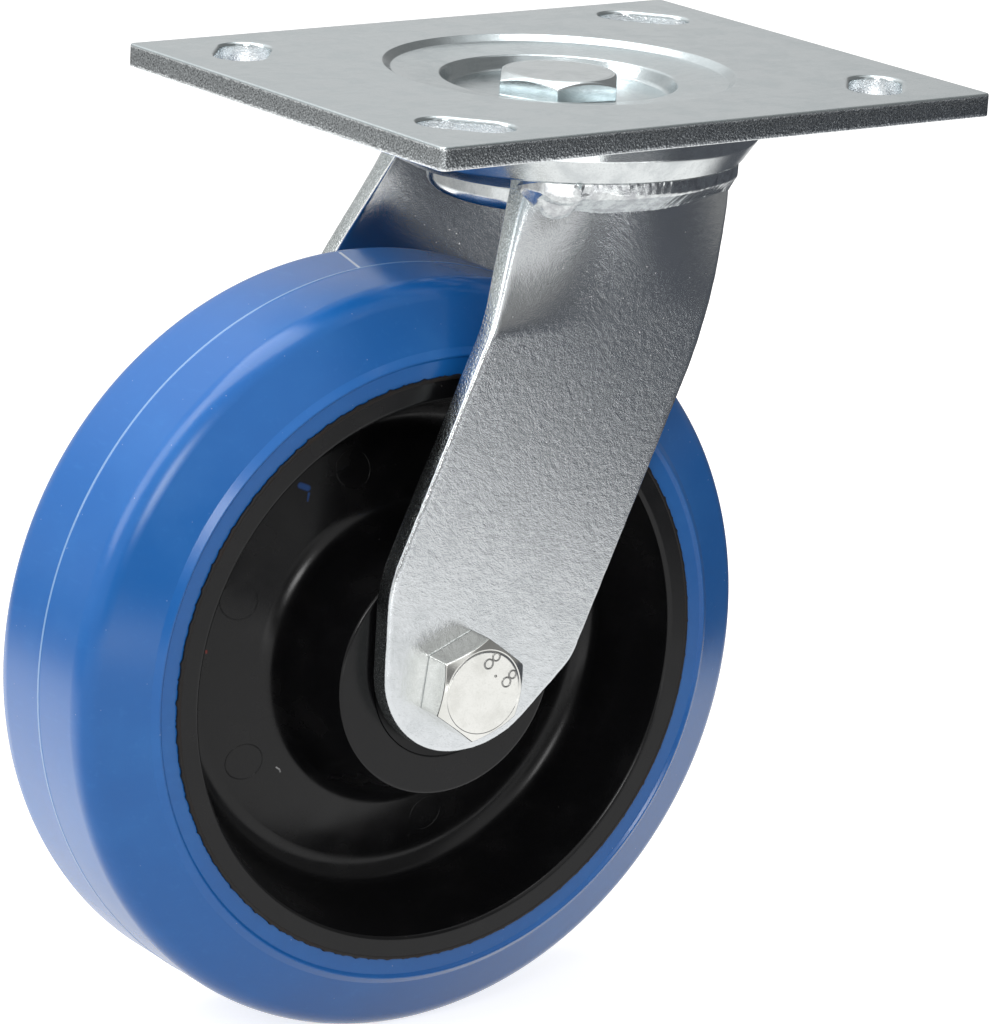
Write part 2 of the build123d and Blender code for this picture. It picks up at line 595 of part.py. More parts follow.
def fork_pieces():
    """Pieces that swivel: the bowl, its legs and what hangs between them."""
    leg = right_leg()
    weld = right_weld()
    bolt_radius = AXLE_BOLT_DIAMETER / 2
    washer_top = LEG_OUTER + AXLE_WASHER_THICKNESS
    nut_sizes = (AXLE_HEAD_FLATS, bolt_radius + SEAT_CLEARANCE, AXLE_NUT_HEIGHT, AXLE_INSERT_HEIGHT)
    tube_bore = bolt_radius + AXLE_HOLE_CLEARANCE
    washer = ring(AXLE_WASHER_DIAMETER / 2, tube_bore, LEG_OUTER, washer_top, WASHER_ROUND)
    inner_ring, outer_ring, balls, cage = bearing()
    right_bearing = Pos(0, 0, HUB_HALF_WIDTH - BEARING_DEPTH - BEARING_WIDTH / 2)
    pieces = {
        "swivel_head": swivel_head(),
        "leg_left": left(leg),
        "leg_right": leg,
        "weld_left": left(weld),
        "weld_right": weld,
        "axle_bolt": at_axle(axle_bolt()),
        "axle_tube": at_axle(ring(AXLE_TUBE_DIAMETER / 2, tube_bore, -LEG_INNER, LEG_INNER)),
        "axle_washer": at_axle(washer),
        "axle_nut": at_axle(Pos(0, 0, washer_top) * lock_nut(*nut_sizes)),
        "axle_nut_insert": at_axle(Pos(0, 0, washer_top) * nut_insert(*nut_sizes)),
        "wheel_centre": at_axle(wheel_centre()),
        "tyre": at_axle(tyre()),
    }
    paired = {
        "bearing_inner": right_bearing * inner_ring,
        "bearing_outer": right_bearing * outer_ring,
        "bearing_balls": right_bearing * balls,
        "bearing_cage": right_bearing * cage,
        "bearing_spacer": bearing_spacer(),
        "dust_cap": dust_cap(),
    }
    for name, shape in paired.items():
        pieces[name + "_right"] = at_axle(shape)
        pieces[name + "_left"] = left(at_axle(shape))
    return {name: Rot(0, 0, REST_SWING) * shape for name, shape in pieces.items()}


def main():
    """Write every piece to its own STEP file."""
    os.makedirs("parts", exist_ok=True)
    for name, shape in {**plate_pieces(), **fork_pieces()}.items():
        export_step(shape, f"parts/{name}.step")


main()
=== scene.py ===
"""Looks of a swivel castor: every visible piece is a parametric surface dressed with a procedural finish."""

import logging
import math
from collections.abc import Iterable
from dataclasses import dataclass
from enum import Enum

import bmesh
import bpy
import numpy as np
from mathutils import Matrix


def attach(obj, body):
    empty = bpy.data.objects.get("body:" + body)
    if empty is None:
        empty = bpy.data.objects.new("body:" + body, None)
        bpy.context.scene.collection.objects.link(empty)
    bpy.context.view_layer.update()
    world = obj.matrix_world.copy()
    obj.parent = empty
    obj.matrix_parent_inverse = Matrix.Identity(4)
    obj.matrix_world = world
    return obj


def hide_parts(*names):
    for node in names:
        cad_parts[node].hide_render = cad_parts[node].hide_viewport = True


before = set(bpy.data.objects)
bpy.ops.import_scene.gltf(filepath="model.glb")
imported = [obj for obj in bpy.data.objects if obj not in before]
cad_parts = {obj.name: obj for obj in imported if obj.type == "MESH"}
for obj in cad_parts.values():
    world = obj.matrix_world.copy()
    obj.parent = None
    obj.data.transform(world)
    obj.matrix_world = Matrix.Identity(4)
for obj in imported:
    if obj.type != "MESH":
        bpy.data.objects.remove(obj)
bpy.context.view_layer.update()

LOG = logging.getLogger("castor")
MM = 0.001
WELD_DISTANCE = 2e-6  # metres, points nearer than this are one

# Sizes and places that several sub-assemblies share, in millimetres and degrees
REST_SWING = -3.0  # heading of the fork about the swivel axis
AXLE_TRAIL = 38.3
AXLE_DROP = 117.9
PLATE_THICKNESS = 4.8
DISH_FLOOR = -5.15  # where the kingpin's head lies
DISH_UNDERSIDE = -9.95
KINGPIN_HOLE = 8.3  # radius
UPPER_PITCH = 32.6  # radius of the circle of the upper balls
UPPER_HEIGHT = -10.2
UPPER_TRACK = 4.15  # radius of their track's section
LEG_INNER = 28.5
LEG_THICKNESS = 5.0
LEG_OUTER = LEG_INNER + LEG_THICKNESS
AXLE_HOLE = 6.2  # radius
EDGE_ARC = 4  # chords in each arc of a sheet's edge

Grid = np.ndarray  # (rows, columns, 3) points in millimetres
Line = np.ndarray  # (points, 2)
Socket = bpy.types.NodeSocket
Material = bpy.types.Material


def turn(axis: str, degrees: float) -> np.ndarray:
    """Rotation about a main axis.

    Args:
        axis: "X", "Y" or "Z".
        degrees: Angle by the right-hand rule.

    Returns:
        A 4 x 4 matrix.
    """
    return np.array(Matrix.Rotation(math.radians(degrees), 4, axis))


def shift(x: float, y: float, z: float) -> np.ndarray:
    """Translation in millimetres as a 4 x 4 matrix."""
    return np.array(Matrix.Translation((x, y, z)))


class Place(Enum):
    """Where a piece's own frame lies in the castor's frame."""

    PLATE = "plate"
    FORK = "fork"
    AXLE = "axle"

    def matrix(self) -> np.ndarray:
        """Matrix from the piece's own frame to the castor's, in millimetres.

        Returns:
            A 4 x 4 matrix.
        """
        swing = turn("Z", REST_SWING)
        if self is Place.PLATE:
            return np.eye(4)
        if self is Place.FORK:
            return swing
        return swing @ shift(-AXLE_TRAIL, 0, -AXLE_DROP) @ turn("X", -90)


class Body(Enum):
    """Bodies of the castor that new pieces ride on."""

    PLATE = "plate"
    FORK = "fork"
    WHEEL = "wheel"


# ---------------------------------------------------------------- surfaces


def headings(angles: np.ndarray) -> Line:
    """Unit vectors (cos a, sin a) at angles in radians."""
    return np.stack([np.cos(angles), np.sin(angles)], -1)


def rounded_line(corners: Iterable[tuple], closed: bool = False, steps: int = 5,
                 support: float = 0.15) -> Line:
    """Line through corners, each turn replaced by an arc.

    With the half angle h between the two straight runs at a corner, the arc of radius r has its centre
    r / sin(h) along the bisector, and touches the runs r / tan(h) from the corner. A point is added on
    every run just beside an arc, which keeps the shading of the flat run flat.

    Args:
        corners: (u, v, radius) of each corner.
        closed: Whether the line returns to its start.
        steps: Chords in each arc.
        support: Distance of the added points from the arcs.

    Returns:
        The points of the line.
    """
    parts: list[np.ndarray] = []
    corners = list(corners)
    count = len(corners)
    for i, (u, v, radius) in enumerate(corners):
        corner = np.array((u, v), float)
        if radius == 0 or (not closed and i in (0, count - 1)):
            parts.append(corner[None])
            continue
        back = np.subtract(corners[i - 1][:2], corner)
        ahead = np.subtract(corners[(i + 1) % count][:2], corner)
        back, ahead = back / np.linalg.norm(back), ahead / np.linalg.norm(ahead)
        half = math.acos(np.clip(back @ ahead, -1, 1)) / 2
        middle = back + ahead
        centre = corner + middle / np.linalg.norm(middle) * radius / math.sin(half)
        first = corner + back * radius / math.tan(half) - centre
        last = corner + ahead * radius / math.tan(half) - centre
        start = math.atan2(first[1], first[0])
        sweep = math.remainder(math.atan2(last[1], last[0]) - start, math.tau)
        parts.append(centre + radius * headings(start + sweep * np.linspace(0, 1, steps + 1)))
    line: list[np.ndarray] = []
    for i, part in enumerate(parts):
        line.append(part)
        if i == count - 1 and not closed:
            break
        run = parts[(i + 1) % count][0] - part[-1]
        length = np.linalg.norm(run)
        if length > 4 * support:
            line.append(part[-1] + np.outer((support / length, 1 - support / length), run))
    return np.concatenate(line)


def swept(unit: Line, rows: Iterable[tuple]) -> Grid:
    """Rows of points at a radius r and a height z along unit vectors (x, y): (r x, r y, z).

    Args:
        unit: One vector for each column.
        rows: (r, z) of each row, where either may be an array with a value for each column.

    Returns:
        The grid.
    """
    every = np.ones(len(unit))
    return np.stack([
        np.column_stack([unit * (radius * every)[:, None], height * every]) for radius, height in rows
    ])


def turned(line: Line, angles: np.ndarray) -> Grid:
    """Surface of revolution about Z: a point (r, z) at angle a goes to (r cos a, r sin a, z)."""
    return swept(headings(angles), line)


def around(segments: int) -> np.ndarray:
    """Even angles round a full circle, the last short of the first."""
    return np.linspace(0, math.tau, segments, endpoint=False)


def edge_rows(upper: float, lower: float, thickness: float) -> Line:
    """Rounded edge of a sheet: two quarter arcs joined by an upright wall.

    Args:
        upper: Radius of the upper arc.
        lower: Radius of the lower arc.
        thickness: Of the sheet.

    Returns:
        (inset from the wall, depth below the upper face) of each row, from the upper face down.
    """
    angle = np.linspace(0, math.pi / 2, EDGE_ARC + 1)
    top = np.stack([upper * (1 - np.sin(angle)), upper * (1 - np.cos(angle))], 1)
    bottom = np.stack([lower * (1 - np.cos(angle)), thickness - lower * (1 - np.sin(angle))], 1)
    return np.concatenate([top, bottom])


def between(inner: np.ndarray, outer: np.ndarray, shares: np.ndarray) -> np.ndarray:
    """Rows that go from one line to another: row = inner + share * (outer - inner)."""
    return inner[None] + np.asarray(shares)[:, None, None] * (outer - inner)[None]


def flat(points: Line, height: float) -> np.ndarray:
    """Points of a plane line or grid at one height."""
    return np.concatenate([points, np.full(points.shape[:-1] + (1,), float(height))], -1)


def circle(u: float, v: float, radius: float, angles: np.ndarray) -> Line:
    """Points of a circle about (u, v) at angles in radians."""
    return (u, v) + radius * headings(angles)


def arc(u: float, v: float, radius: float, first: float, last: float, steps: int = 8) -> Line:
    """Points of a circle about (u, v) from the first angle to the last, in degrees."""
    return circle(u, v, radius, np.radians(np.linspace(first, last, steps + 1)))


def run_along(line: Line) -> np.ndarray:
    """Distance of each point of a line from its start, measured along it."""
    return np.append(0, np.cumsum(np.linalg.norm(np.diff(line, axis=0), axis=1)))


def evenly(line: Line, count: int) -> Line:
    """Points at even distances along a line.

    Args:
        line: Points of the line.
        count: How many points are wanted.

    Returns:
        The points.
    """
    run = run_along(line)
    even = np.linspace(0, run[-1], count)
    return np.stack([np.interp(even, run, values) for values in line.T], 1)


def tube(path: np.ndarray, radius: float, sides: int = 8) -> Grid:
    """Tube round a closed path that lies nearly level.

    Each point of the path carries a circle spanned by Z and by the outward normal (ty, -tx) of the path's
    direction (tx, ty).

    Args:
        path: (points, 3) line, the last point short of the first.
        radius: Of the tube.
        sides: Of its section.

    Returns:
        One row for each point of the path.
    """
    along = np.roll(path, -1, 0) - np.roll(path, 1, 0)
    out = np.stack([along[:, 1], -along[:, 0], np.zeros(len(path))], 1)
    out /= np.linalg.norm(out, axis=1)[:, None]
    angle = around(sides)[None, :, None]
    return path[:, None] + radius * (np.cos(angle) * out[:, None] + np.sin(angle) * np.array((0, 0, 1.0)))


def spread(count: int, near: float = 0.03) -> np.ndarray:
    """Even shares from 0 to 1 with one more beside each end, which keeps flat faces flat."""
    return np.sort(np.append(np.linspace(0, 1, count), (near, 1 - near)))


def wobble(u: np.ndarray, seed: int, waves: int = 6, longest: float = 9.0) -> np.ndarray:
    """Smooth unevenness between -1 and 1: sines of falling length with phases drawn from a seed.

    Args:
        u: Where to work it out, in millimetres.
        seed: Of the phases.
        waves: How many sines are added.
        longest: Length of the longest one in millimetres.

    Returns:
        A value for each u.
    """
    random = np.random.default_rng(seed)
    lengths = longest / 1.55 ** np.arange(waves)
    phases = random.uniform(0, math.tau, waves)
    weights = lengths ** 0.7
    return (np.sin(u[..., None] * math.tau / lengths + phases) * weights).sum(-1) / weights.sum()


@dataclass(frozen=True)
class Waves:
    """Smooth unevenness of a height along a line, in millimetres."""

    height: float
    seed: int
    longest: float
    count: int = 6
    slant: float = 0.0  # how far it is shifted along the line for each step across it

    def at(self, u: np.ndarray, across: np.ndarray | float = 0.0) -> np.ndarray:
        """Height times the unevenness at u + slant * across."""
        return self.height * wobble(u + self.slant * across, self.seed, self.count, self.longest)


class Shell:
    """Mesh put together from grids of points, whose shared edges are joined into closed surfaces."""

    def __init__(self) -> None:
        """Starts with no points."""
        self.points: list[np.ndarray] = []
        self.quads: list[np.ndarray] = []
        self.slots: list[np.ndarray] = []
        self.count = 0

    def add(self, grid: Grid, slot: int = 0, round_rows: bool = False, round_columns: bool = False) -> None:
        """Adds a grid of points as quads.

        Args:
            grid: (rows, columns, 3) points.
            slot: Number of the finish that the quads take.
            round_rows: Whether the last row joins the first.
            round_columns: Whether the last column joins the first.
        """
        rows, columns = grid.shape[:2]
        row = np.arange(rows if round_rows else rows - 1)[:, None]
        column = np.arange(columns if round_columns else columns - 1)[None]
        low, high = row * columns, (row + 1) % rows * columns
        left, right = column, (column + 1) % columns
        quads = np.stack([low + left, low + right, high + right, high + left], 2).reshape(-1, 4)
        self.points.append(grid.reshape(-1, 3))
        self.quads.append(quads + self.count)
        self.slots.append(np.full(len(quads), slot))
        self.count += rows * columns

    def piece(self, name: str, place: Place, finishes: list[Material], body: Body, slot: str,
              nodes: tuple[str, ...] = ()) -> bpy.types.Object:
        """Makes the object, rides it on its body and lets it stand for CAD nodes.

        Args:
            name: Of the piece.
            place: Frame that the points are in.
            finishes: Materials, in the order of the slots' numbers.
            body: What it moves with.
            slot: Name of a material slot; not used.
            nodes: CAD nodes that it replaces.

        Returns:
            The finished object.
        """
        matrix = place.matrix()
        points = np.concatenate(self.points) @ matrix[:3, :3].T + matrix[:3, 3]
        mesh = bpy.data.meshes.new(name)
        mesh.from_pydata((points * MM).tolist(), [], np.concatenate(self.quads).tolist())
        mesh.polygons.foreach_set("material_index", np.concatenate(self.slots).astype(np.int32))
        work = bmesh.new()
        work.from_mesh(mesh)
        bmesh.ops.remove_doubles(work, verts=work.verts, dist=WELD_DISTANCE)
        bmesh.ops.recalc_face_normals(work, faces=work.faces)
        work.to_mesh(mesh)
        work.free()
        mesh.shade_smooth()
        for finish in finishes:
            mesh.materials.append(finish)
        made = bpy.data.objects.new(name, mesh)
        bpy.context.scene.collection.objects.link(made)
        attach(made, body.value)
        if nodes:
            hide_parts(*nodes)
        LOG.info("%s: %d faces, rides on %s", name, len(mesh.polygons), body.value)
        return made


def closed(*grids: Grid) -> Shell:
    """Shell of grids that close on themselves both ways.

    Args:
        grids: Their last row joins the first, and their last column the first.

    Returns:
        The shell.
    """
    shell = Shell()
    for grid in grids:
        shell.add(grid, 0, True, True)
    return shell


# ---------------------------------------------------------------- finishes


class Nodes:
    """Short ways to add nodes to a shader tree."""

    def __init__(self, tree: bpy.types.NodeTree) -> None:
        """Works on one tree."""
        self.nodes = tree.nodes
        self.links = tree.links

    def feed(self, entry: Socket, value: object) -> None:
        """Joins a socket to an input, or sets the input to a value.

        Args:
            entry: The input.
            value: A socket or a value.
        """
        if isinstance(value, Socket):
            self.links.new(value, entry)
        else:
            entry.default_value = value

    def node(self, kind: str, inputs: dict | None = None, **settings: object) -> bpy.types.Node:
        """Adds a node.

        Args:
            kind: Its type, without the ShaderNode prefix.
            inputs: Sockets to join or values to set, by the input's name or number.
            settings: Properties of the node.

        Returns:
            The node.
        """
        made = self.nodes.new("ShaderNode" + kind)
        for key, value in settings.items():
            setattr(made, key, value)
        for key, value in (inputs or {}).items():
            self.feed(made.inputs[key], value)
        return made

    def math(self, operation: str, first: object, second: object = 0.0, clamp: bool = False) -> Socket:
        """Sum, product or other operation on two values."""
        return self.node("Math", {0: first, 1: second}, operation=operation, use_clamp=clamp).outputs[0]

    def plus(self, first: object, second: object) -> Socket:
        """Sum of two values."""
        return self.math("ADD", first, second)

    def minus(self, first: object, second: object) -> Socket:
        """Difference of two values."""
        return self.math("SUBTRACT", first, second)

    def times(self, first: object, second: object) -> Socket:
        """Product of two values."""
        return self.math("MULTIPLY", first, second)

    def blend(self, share: Socket, first: object, second: object) -> Socket:
        """Value that goes from the first to the second as share goes from 0 to 1."""
        return self.plus(self.times(self.minus(1.0, share), first), self.times(share, second))

    def split(self, vector: Socket) -> tuple[Socket, ...]:
        """The three parts of a vector."""
        return tuple(self.node("SeparateXYZ", {0: vector}).outputs)

    def vector(self, operation: str, first: object, second: object = (0, 0, 0)) -> bpy.types.Node:
        """Difference, dot product or other operation on two vectors."""
        return self.node("VectorMath", {0: first, 1: second}, operation=operation)

    def rays(self) -> tuple[Socket, Socket]:
        """Masks of the mirrored rays, and of those from the camera, also through glass.

        Returns:
            The two masks' sockets.
        """
        path = self.node("LightPath").outputs
        seen = self.math("MAXIMUM", path["Is Camera Ray"], path["Is Transmission Ray"])
        return path["Is Glossy Ray"], seen

    def length(self, vector: Socket) -> Socket:
        """Length of a vector."""
        return self.vector("LENGTH", vector).outputs["Value"]

    def band(self, value: Socket, low: float, high: float, start: float = 0.0, end: float = 1.0) -> Socket:
        """Maps low..high smoothly to start..end, and holds the ends.

        Args:
            value: Socket with the value.
            low: Value where the change begins.
            high: Value where it ends.
            start: Result up to low.
            end: Result from high.

        Returns:
            The result's socket.
        """
        return self.node("MapRange", {
            "Value": value, "From Min": low, "From Max": high, "To Min": start, "To Max": end,
        }, interpolation_type="SMOOTHSTEP").outputs["Result"]

    def mix(self, share: object, first: object, second: object) -> Socket:
        """Colour that goes from the first to the second as share goes from 0 to 1.

        Args:
            share: Socket or value.
            first: Socket, or red, green and blue.
            second: The same.

        Returns:
            The colour's socket.
        """
        made = self.node("Mix", {0: share}, data_type="RGBA")
        for number, value in ((6, first), (7, second)):
            self.feed(made.inputs[number], value if isinstance(value, Socket) else (*value, 1.0))
        return made.outputs[2]


class Tree(Nodes):
    """Node tree of one material with a Principled shader."""

    def __init__(self, name: str, **constants: object) -> None:
        """Makes the material.

        Args:
            name: Of the material.
            constants: Values for the shader's own sockets, with _ for a space.
        """
        self.material = bpy.data.materials.new(name)
        self.material.use_nodes = True
        super().__init__(self.material.node_tree)
        self.shader = self.nodes["Principled BSDF"]
        for key, value in constants.items():
            self.shader.inputs[key.replace("_", " ")].default_value = value

    def coordinates(self, place: Place = Place.PLATE) -> Socket:
        """Object coordinates in metres, seen from a piece's own frame.

        Args:
            place: The piece's own frame.

        Returns:
            The coordinates' socket.
        """
        inverse = Matrix(np.linalg.inv(place.matrix()))
        return self.node("Mapping", {
            "Vector": self.node("TexCoord").outputs["Object"],
            "Location": inverse.translation * MM,
            "Rotation": inverse.to_euler(),
        }).outputs[0]

    def pressed(self, where: Socket, stretch: tuple) -> Socket:
        """Coordinates scaled along each axis, so that a pattern is drawn out along the small ones."""
        return self.node("Mapping", {"Vector": where, "Scale": stretch}).outputs[0]

    def noise(self, where: Socket, size: float, detail: float = 2.0, roughness: float = 0.5,
              distortion: float = 0.0) -> Socket:
        """Noise whose blotches are about size millimetres across.

        Args:
            where: Place in metres.
            size: Of the blotches, in millimetres.
            detail: How many finer layers lie over them.
            roughness: Strength of each layer beside the one before.
            distortion: How far the blotches are warped.

        Returns:
            The socket of a value around 0.5.
        """
        return self.node("TexNoise", {
            "Vector": where, "Scale": 1 / (size * MM), "Detail": detail, "Roughness": roughness,
            "Distortion": distortion,
        }).outputs["Fac"]

    def cells(self, where: Socket, size: float) -> Socket:
        """Distance from the middles of cells about size millimetres across."""
        return self.node("TexVoronoi", {"Vector": where, "Scale": 1 / (size * MM)}).outputs["Distance"]

    def specks(self, where: Socket, size: float, core: float, rim: float, share: float) -> Socket:
        """Mask of a speck in the middle of each cell, which fades from share to 0 between core and rim."""
        return self.band(self.cells(where, size), core, rim, share, 0.0)

    def near(self, where: Socket, first: tuple, last: tuple, width: float) -> Socket:
        """Mask of a thin stroke between two points.

        With p the place, a and b the ends and h = (p - a).(b - a) / |b - a|^2 held to 0..1, it is 1 where
        the distance |p - a - h (b - a)| is below half the width, and fades beyond.

        Args:
            where: Place in metres.
            first: One end in millimetres.
            last: The other end.
            width: Of the stroke.

        Returns:
            The mask's socket.
        """
        start, run = np.array(first) * MM, np.subtract(last, first) * MM
        gone = self.vector("SUBTRACT", where, tuple(start)).outputs[0]
        dot = self.vector("DOT_PRODUCT", gone, tuple(run)).outputs["Value"]
        share = self.math("MULTIPLY", dot, 1 / float(run @ run), clamp=True)
        along = self.node("VectorMath", {0: tuple(run), "Scale": share}, operation="SCALE").outputs[0]
        away = self.length(self.vector("SUBTRACT", gone, along).outputs[0])
        return self.band(away, 0.3 * width * MM, 0.8 * width * MM, 1.0, 0.0)

    def bump(self, height: Socket, depth: float, under: Socket | None = None) -> Socket:
        """Normal of a relief whose height of 0 to 1 spans depth millimetres.

        Args:
            height: Socket with the relief.
            depth: In millimetres.
            under: Normal of a relief that it lies on.

        Returns:
            The normal's socket.
        """
        inputs = {"Height": height, "Distance": depth * MM, "Strength": 1.0}
        if under is not None:
            inputs["Normal"] = under
        return self.node("Bump", inputs).outputs["Normal"]

    def dress(self, **sockets: Socket) -> Material:
        """Joins sockets to the shader's inputs, with _ for a space, and returns the material.

        Args:
            sockets: What feeds each.

        Returns:
            The finished material.
        """
        for key, value in sockets.items():
            self.links.new(value, self.shader.inputs[key.replace("_", " ")])
        return self.material


@dataclass(frozen=True)
class Stroke:
    """Scratch, scuff or smear: a thin stroke between two points of a piece's own frame, in millimetres."""

    first: tuple
    last: tuple
    width: float
    colour: tuple
    strength: float = 1.0


@dataclass(frozen=True)
class Finish:
    """What every finish has: a name, the frame its pattern lies in, and its strokes."""

    name: str
    place: Place = Place.PLATE
    strokes: tuple[Stroke, ...] = ()

    def stroked(self, tree: Tree, where: Socket, colour: Socket) -> Socket:
        """Lays the strokes over a colour.

        Args:
            tree: Tree that the nodes go into.
            where: Place in metres.
            colour: Socket with the colour below.

        Returns:
            The colour's socket.
        """
        for stroke in self.strokes:
            mask = tree.near(where, stroke.first, stroke.last, stroke.width)
            colour = tree.mix(tree.times(mask, stroke.strength), colour, stroke.colour)
        return colour


@dataclass(frozen=True)
class ZincFinish(Finish):
    """Bright zinc plating on sheet or fasteners: fine sparkling grain, dull blotches and drawn streaks."""

    colour: tuple = (0.72, 0.75, 0.75)
    shade: tuple = (0.52, 0.55, 0.56)  # colour of the duller blotches
    speck: tuple = (0.95, 0.96, 0.97)
    roughness: float = 0.22
    grain: float = 0.42  # millimetres
    grain_depth: float = 0.016
    blotch: float = 8.0
    blotch_share: float = 0.75
    speck_share: float = 0.0
    streak: float = 0.0

    def material(self) -> Material:
        """Builds the node tree of the finish.

        Returns:
            The material.
        """
        tree = Tree(self.name, Metallic=1.0)
        where = tree.coordinates(self.place)
        grain = tree.noise(where, self.grain, 3.0, 0.6)
        coarse = tree.noise(where, self.grain * 5.0, 2.0)
        blotches = tree.noise(where, self.blotch, 4.0, 0.62, 0.3)
        colour = tree.mix(tree.band(blotches, 0.40, 0.66, 0.0, self.blotch_share), self.colour, self.shade)
        colour = tree.mix(tree.band(grain, 0.52, 0.72, 0.0, 0.5), colour, self.shade)
        rough = tree.band(blotches, 0.3, 0.75, self.roughness * 0.85, self.roughness * 1.25)
        if self.speck_share:
            specks = tree.specks(where, 2.3, 0.04, 0.08, self.speck_share)
            colour = tree.mix(specks, colour, self.speck)
            rough = tree.plus(rough, tree.times(specks, 0.25))
        normal = tree.bump(coarse, self.grain_depth * 1.2)
        normal = tree.bump(grain, self.grain_depth, normal)
        if self.streak:
            drawn = tree.noise(tree.pressed(where, (0.07, 1.0, 1.0)), 0.8, 3.0, 0.6)
            colour = tree.mix(tree.band(drawn, 0.48, 0.72, 0.0, self.streak), colour, self.shade)
            normal = tree.bump(drawn, self.grain_depth * 0.8, normal)
        return tree.dress(Base_Color=self.stroked(tree, where, colour), Roughness=rough, Normal=normal)


@dataclass(frozen=True)
class ShearedFinish(Finish):
    """Granular torn face that a shear or punch leaves, plated over."""

    light: tuple = (0.62, 0.66, 0.67)
    dark: tuple = (0.17, 0.185, 0.19)
    roughness: float = 0.22
    grain: float = 0.32
    depth: float = 0.07
    faces: tuple = ()  # heights of the sheet's two faces, beside which a smooth rim ends raggedly
    rim: tuple = (0.80, 0.83, 0.84)  # its colour
    rim_width: float = 0.75
    rim_fade: float = 0.25
    rim_wander: float = 1.6

    def material(self) -> Material:
        """Builds the node tree of the finish.

        Returns:
            The material.
        """
        tree = Tree(self.name, Metallic=1.0)
        where = tree.coordinates(self.place)
        grain = tree.noise(where, self.grain, 4.0, 0.7, 0.4)
        pits = tree.cells(where, self.grain * 1.6)
        colour = tree.mix(tree.band(grain, 0.38, 0.60), self.dark, self.light)
        if self.faces:
            low, high = self.faces
            off = tree.math("ABSOLUTE", tree.minus(tree.split(where)[2], (low + high) / 2 * MM))
            ragged = tree.times(tree.minus(tree.noise(where, 0.9, 4.0, 0.7), 0.5), self.rim_wander * MM)
            start = (high - low) / 2 - self.rim_width
            rim = tree.band(tree.plus(off, ragged), start * MM, (start + self.rim_fade) * MM)
            colour = tree.mix(rim, colour, self.rim)
        rough = tree.band(grain, 0.3, 0.7, self.roughness * 1.4, self.roughness * 0.8)
        normal = tree.bump(pits, self.depth)
        normal = tree.bump(grain, self.depth * 0.8, normal)
        return tree.dress(Base_Color=colour, Roughness=rough, Normal=normal)


@dataclass(frozen=True)
class RubberFinish(Finish):
    """Smooth blue rubber with a faint bloom, fine dust and a few scuffs."""

    colour: tuple = (0.008, 0.128, 0.44)
    bloom: tuple = (0.03, 0.20, 0.56)
    line: tuple = (0.35, 0.55, 0.80)  # of the mould's parting line round the tread
    dust: tuple = (0.45, 0.55, 0.72)
    roughness: float = 0.22

    def material(self) -> Material:
        """Builds the node tree of the finish.

        Returns:
            The material.
        """
        tree = Tree(self.name, IOR=1.5, Specular_IOR_Level=0.5)
        where = tree.coordinates(self.place)
        clouds = tree.noise(where, 24.0, 4.0, 0.55)
        fine = tree.noise(where, 0.7, 3.0, 0.6)
        across = tree.noise(tree.pressed(where, (1.0, 1.0, 0.25)), 1.6, 3.0, 0.6)
        colour = tree.mix(tree.band(clouds, 0.45, 0.78, 0.0, 0.30), self.colour, self.bloom)
        colour = tree.mix(tree.band(across, 0.56, 0.80, 0.0, 0.22), colour, self.bloom)
        colour = tree.mix(tree.specks(where, 3.4, 0.03, 0.05, 0.35), colour, self.dust)
        middle = tree.math("ABSOLUTE", tree.split(where)[2])
        colour = tree.mix(tree.band(middle, 0.2 * MM, 0.4 * MM, 0.6, 0.0), colour, self.line)
        rough = tree.band(clouds, 0.3, 0.7, self.roughness * 0.85, self.roughness * 1.2)
        normal = tree.bump(fine, 0.006)
        return tree.dress(Base_Color=self.stroked(tree, where, colour), Roughness=rough, Normal=normal)


@dataclass(frozen=True)
class MouldedFinish(Finish):
    """Moulded plastic with a soft gloss."""

    colour: tuple = (0.0045, 0.0045, 0.005)
    worn: tuple = (0.012, 0.0115, 0.012)
    dust: tuple = (0.20, 0.19, 0.18)
    roughness: float = 0.22
    texture: float = 0.006

    def material(self) -> Material:
        """Builds the node tree of the finish.

        Returns:
            The material.
        """
        tree = Tree(self.name, IOR=1.37)
        where = tree.coordinates(self.place)
        clouds = tree.noise(where, 12.0, 4.0, 0.55)
        fine = tree.noise(where, 0.5, 3.0, 0.6)
        colour = tree.mix(tree.band(clouds, 0.45, 0.8, 0.0, 0.6), self.colour, self.worn)
        colour = tree.mix(tree.specks(where, 5.0, 0.018, 0.03, 0.30), colour, self.dust)
        rough = tree.band(clouds, 0.3, 0.7, self.roughness * 0.85, self.roughness * 1.3)
        return tree.dress(Base_Color=self.stroked(tree, where, colour), Roughness=rough,
                          Normal=tree.bump(fine, self.texture))


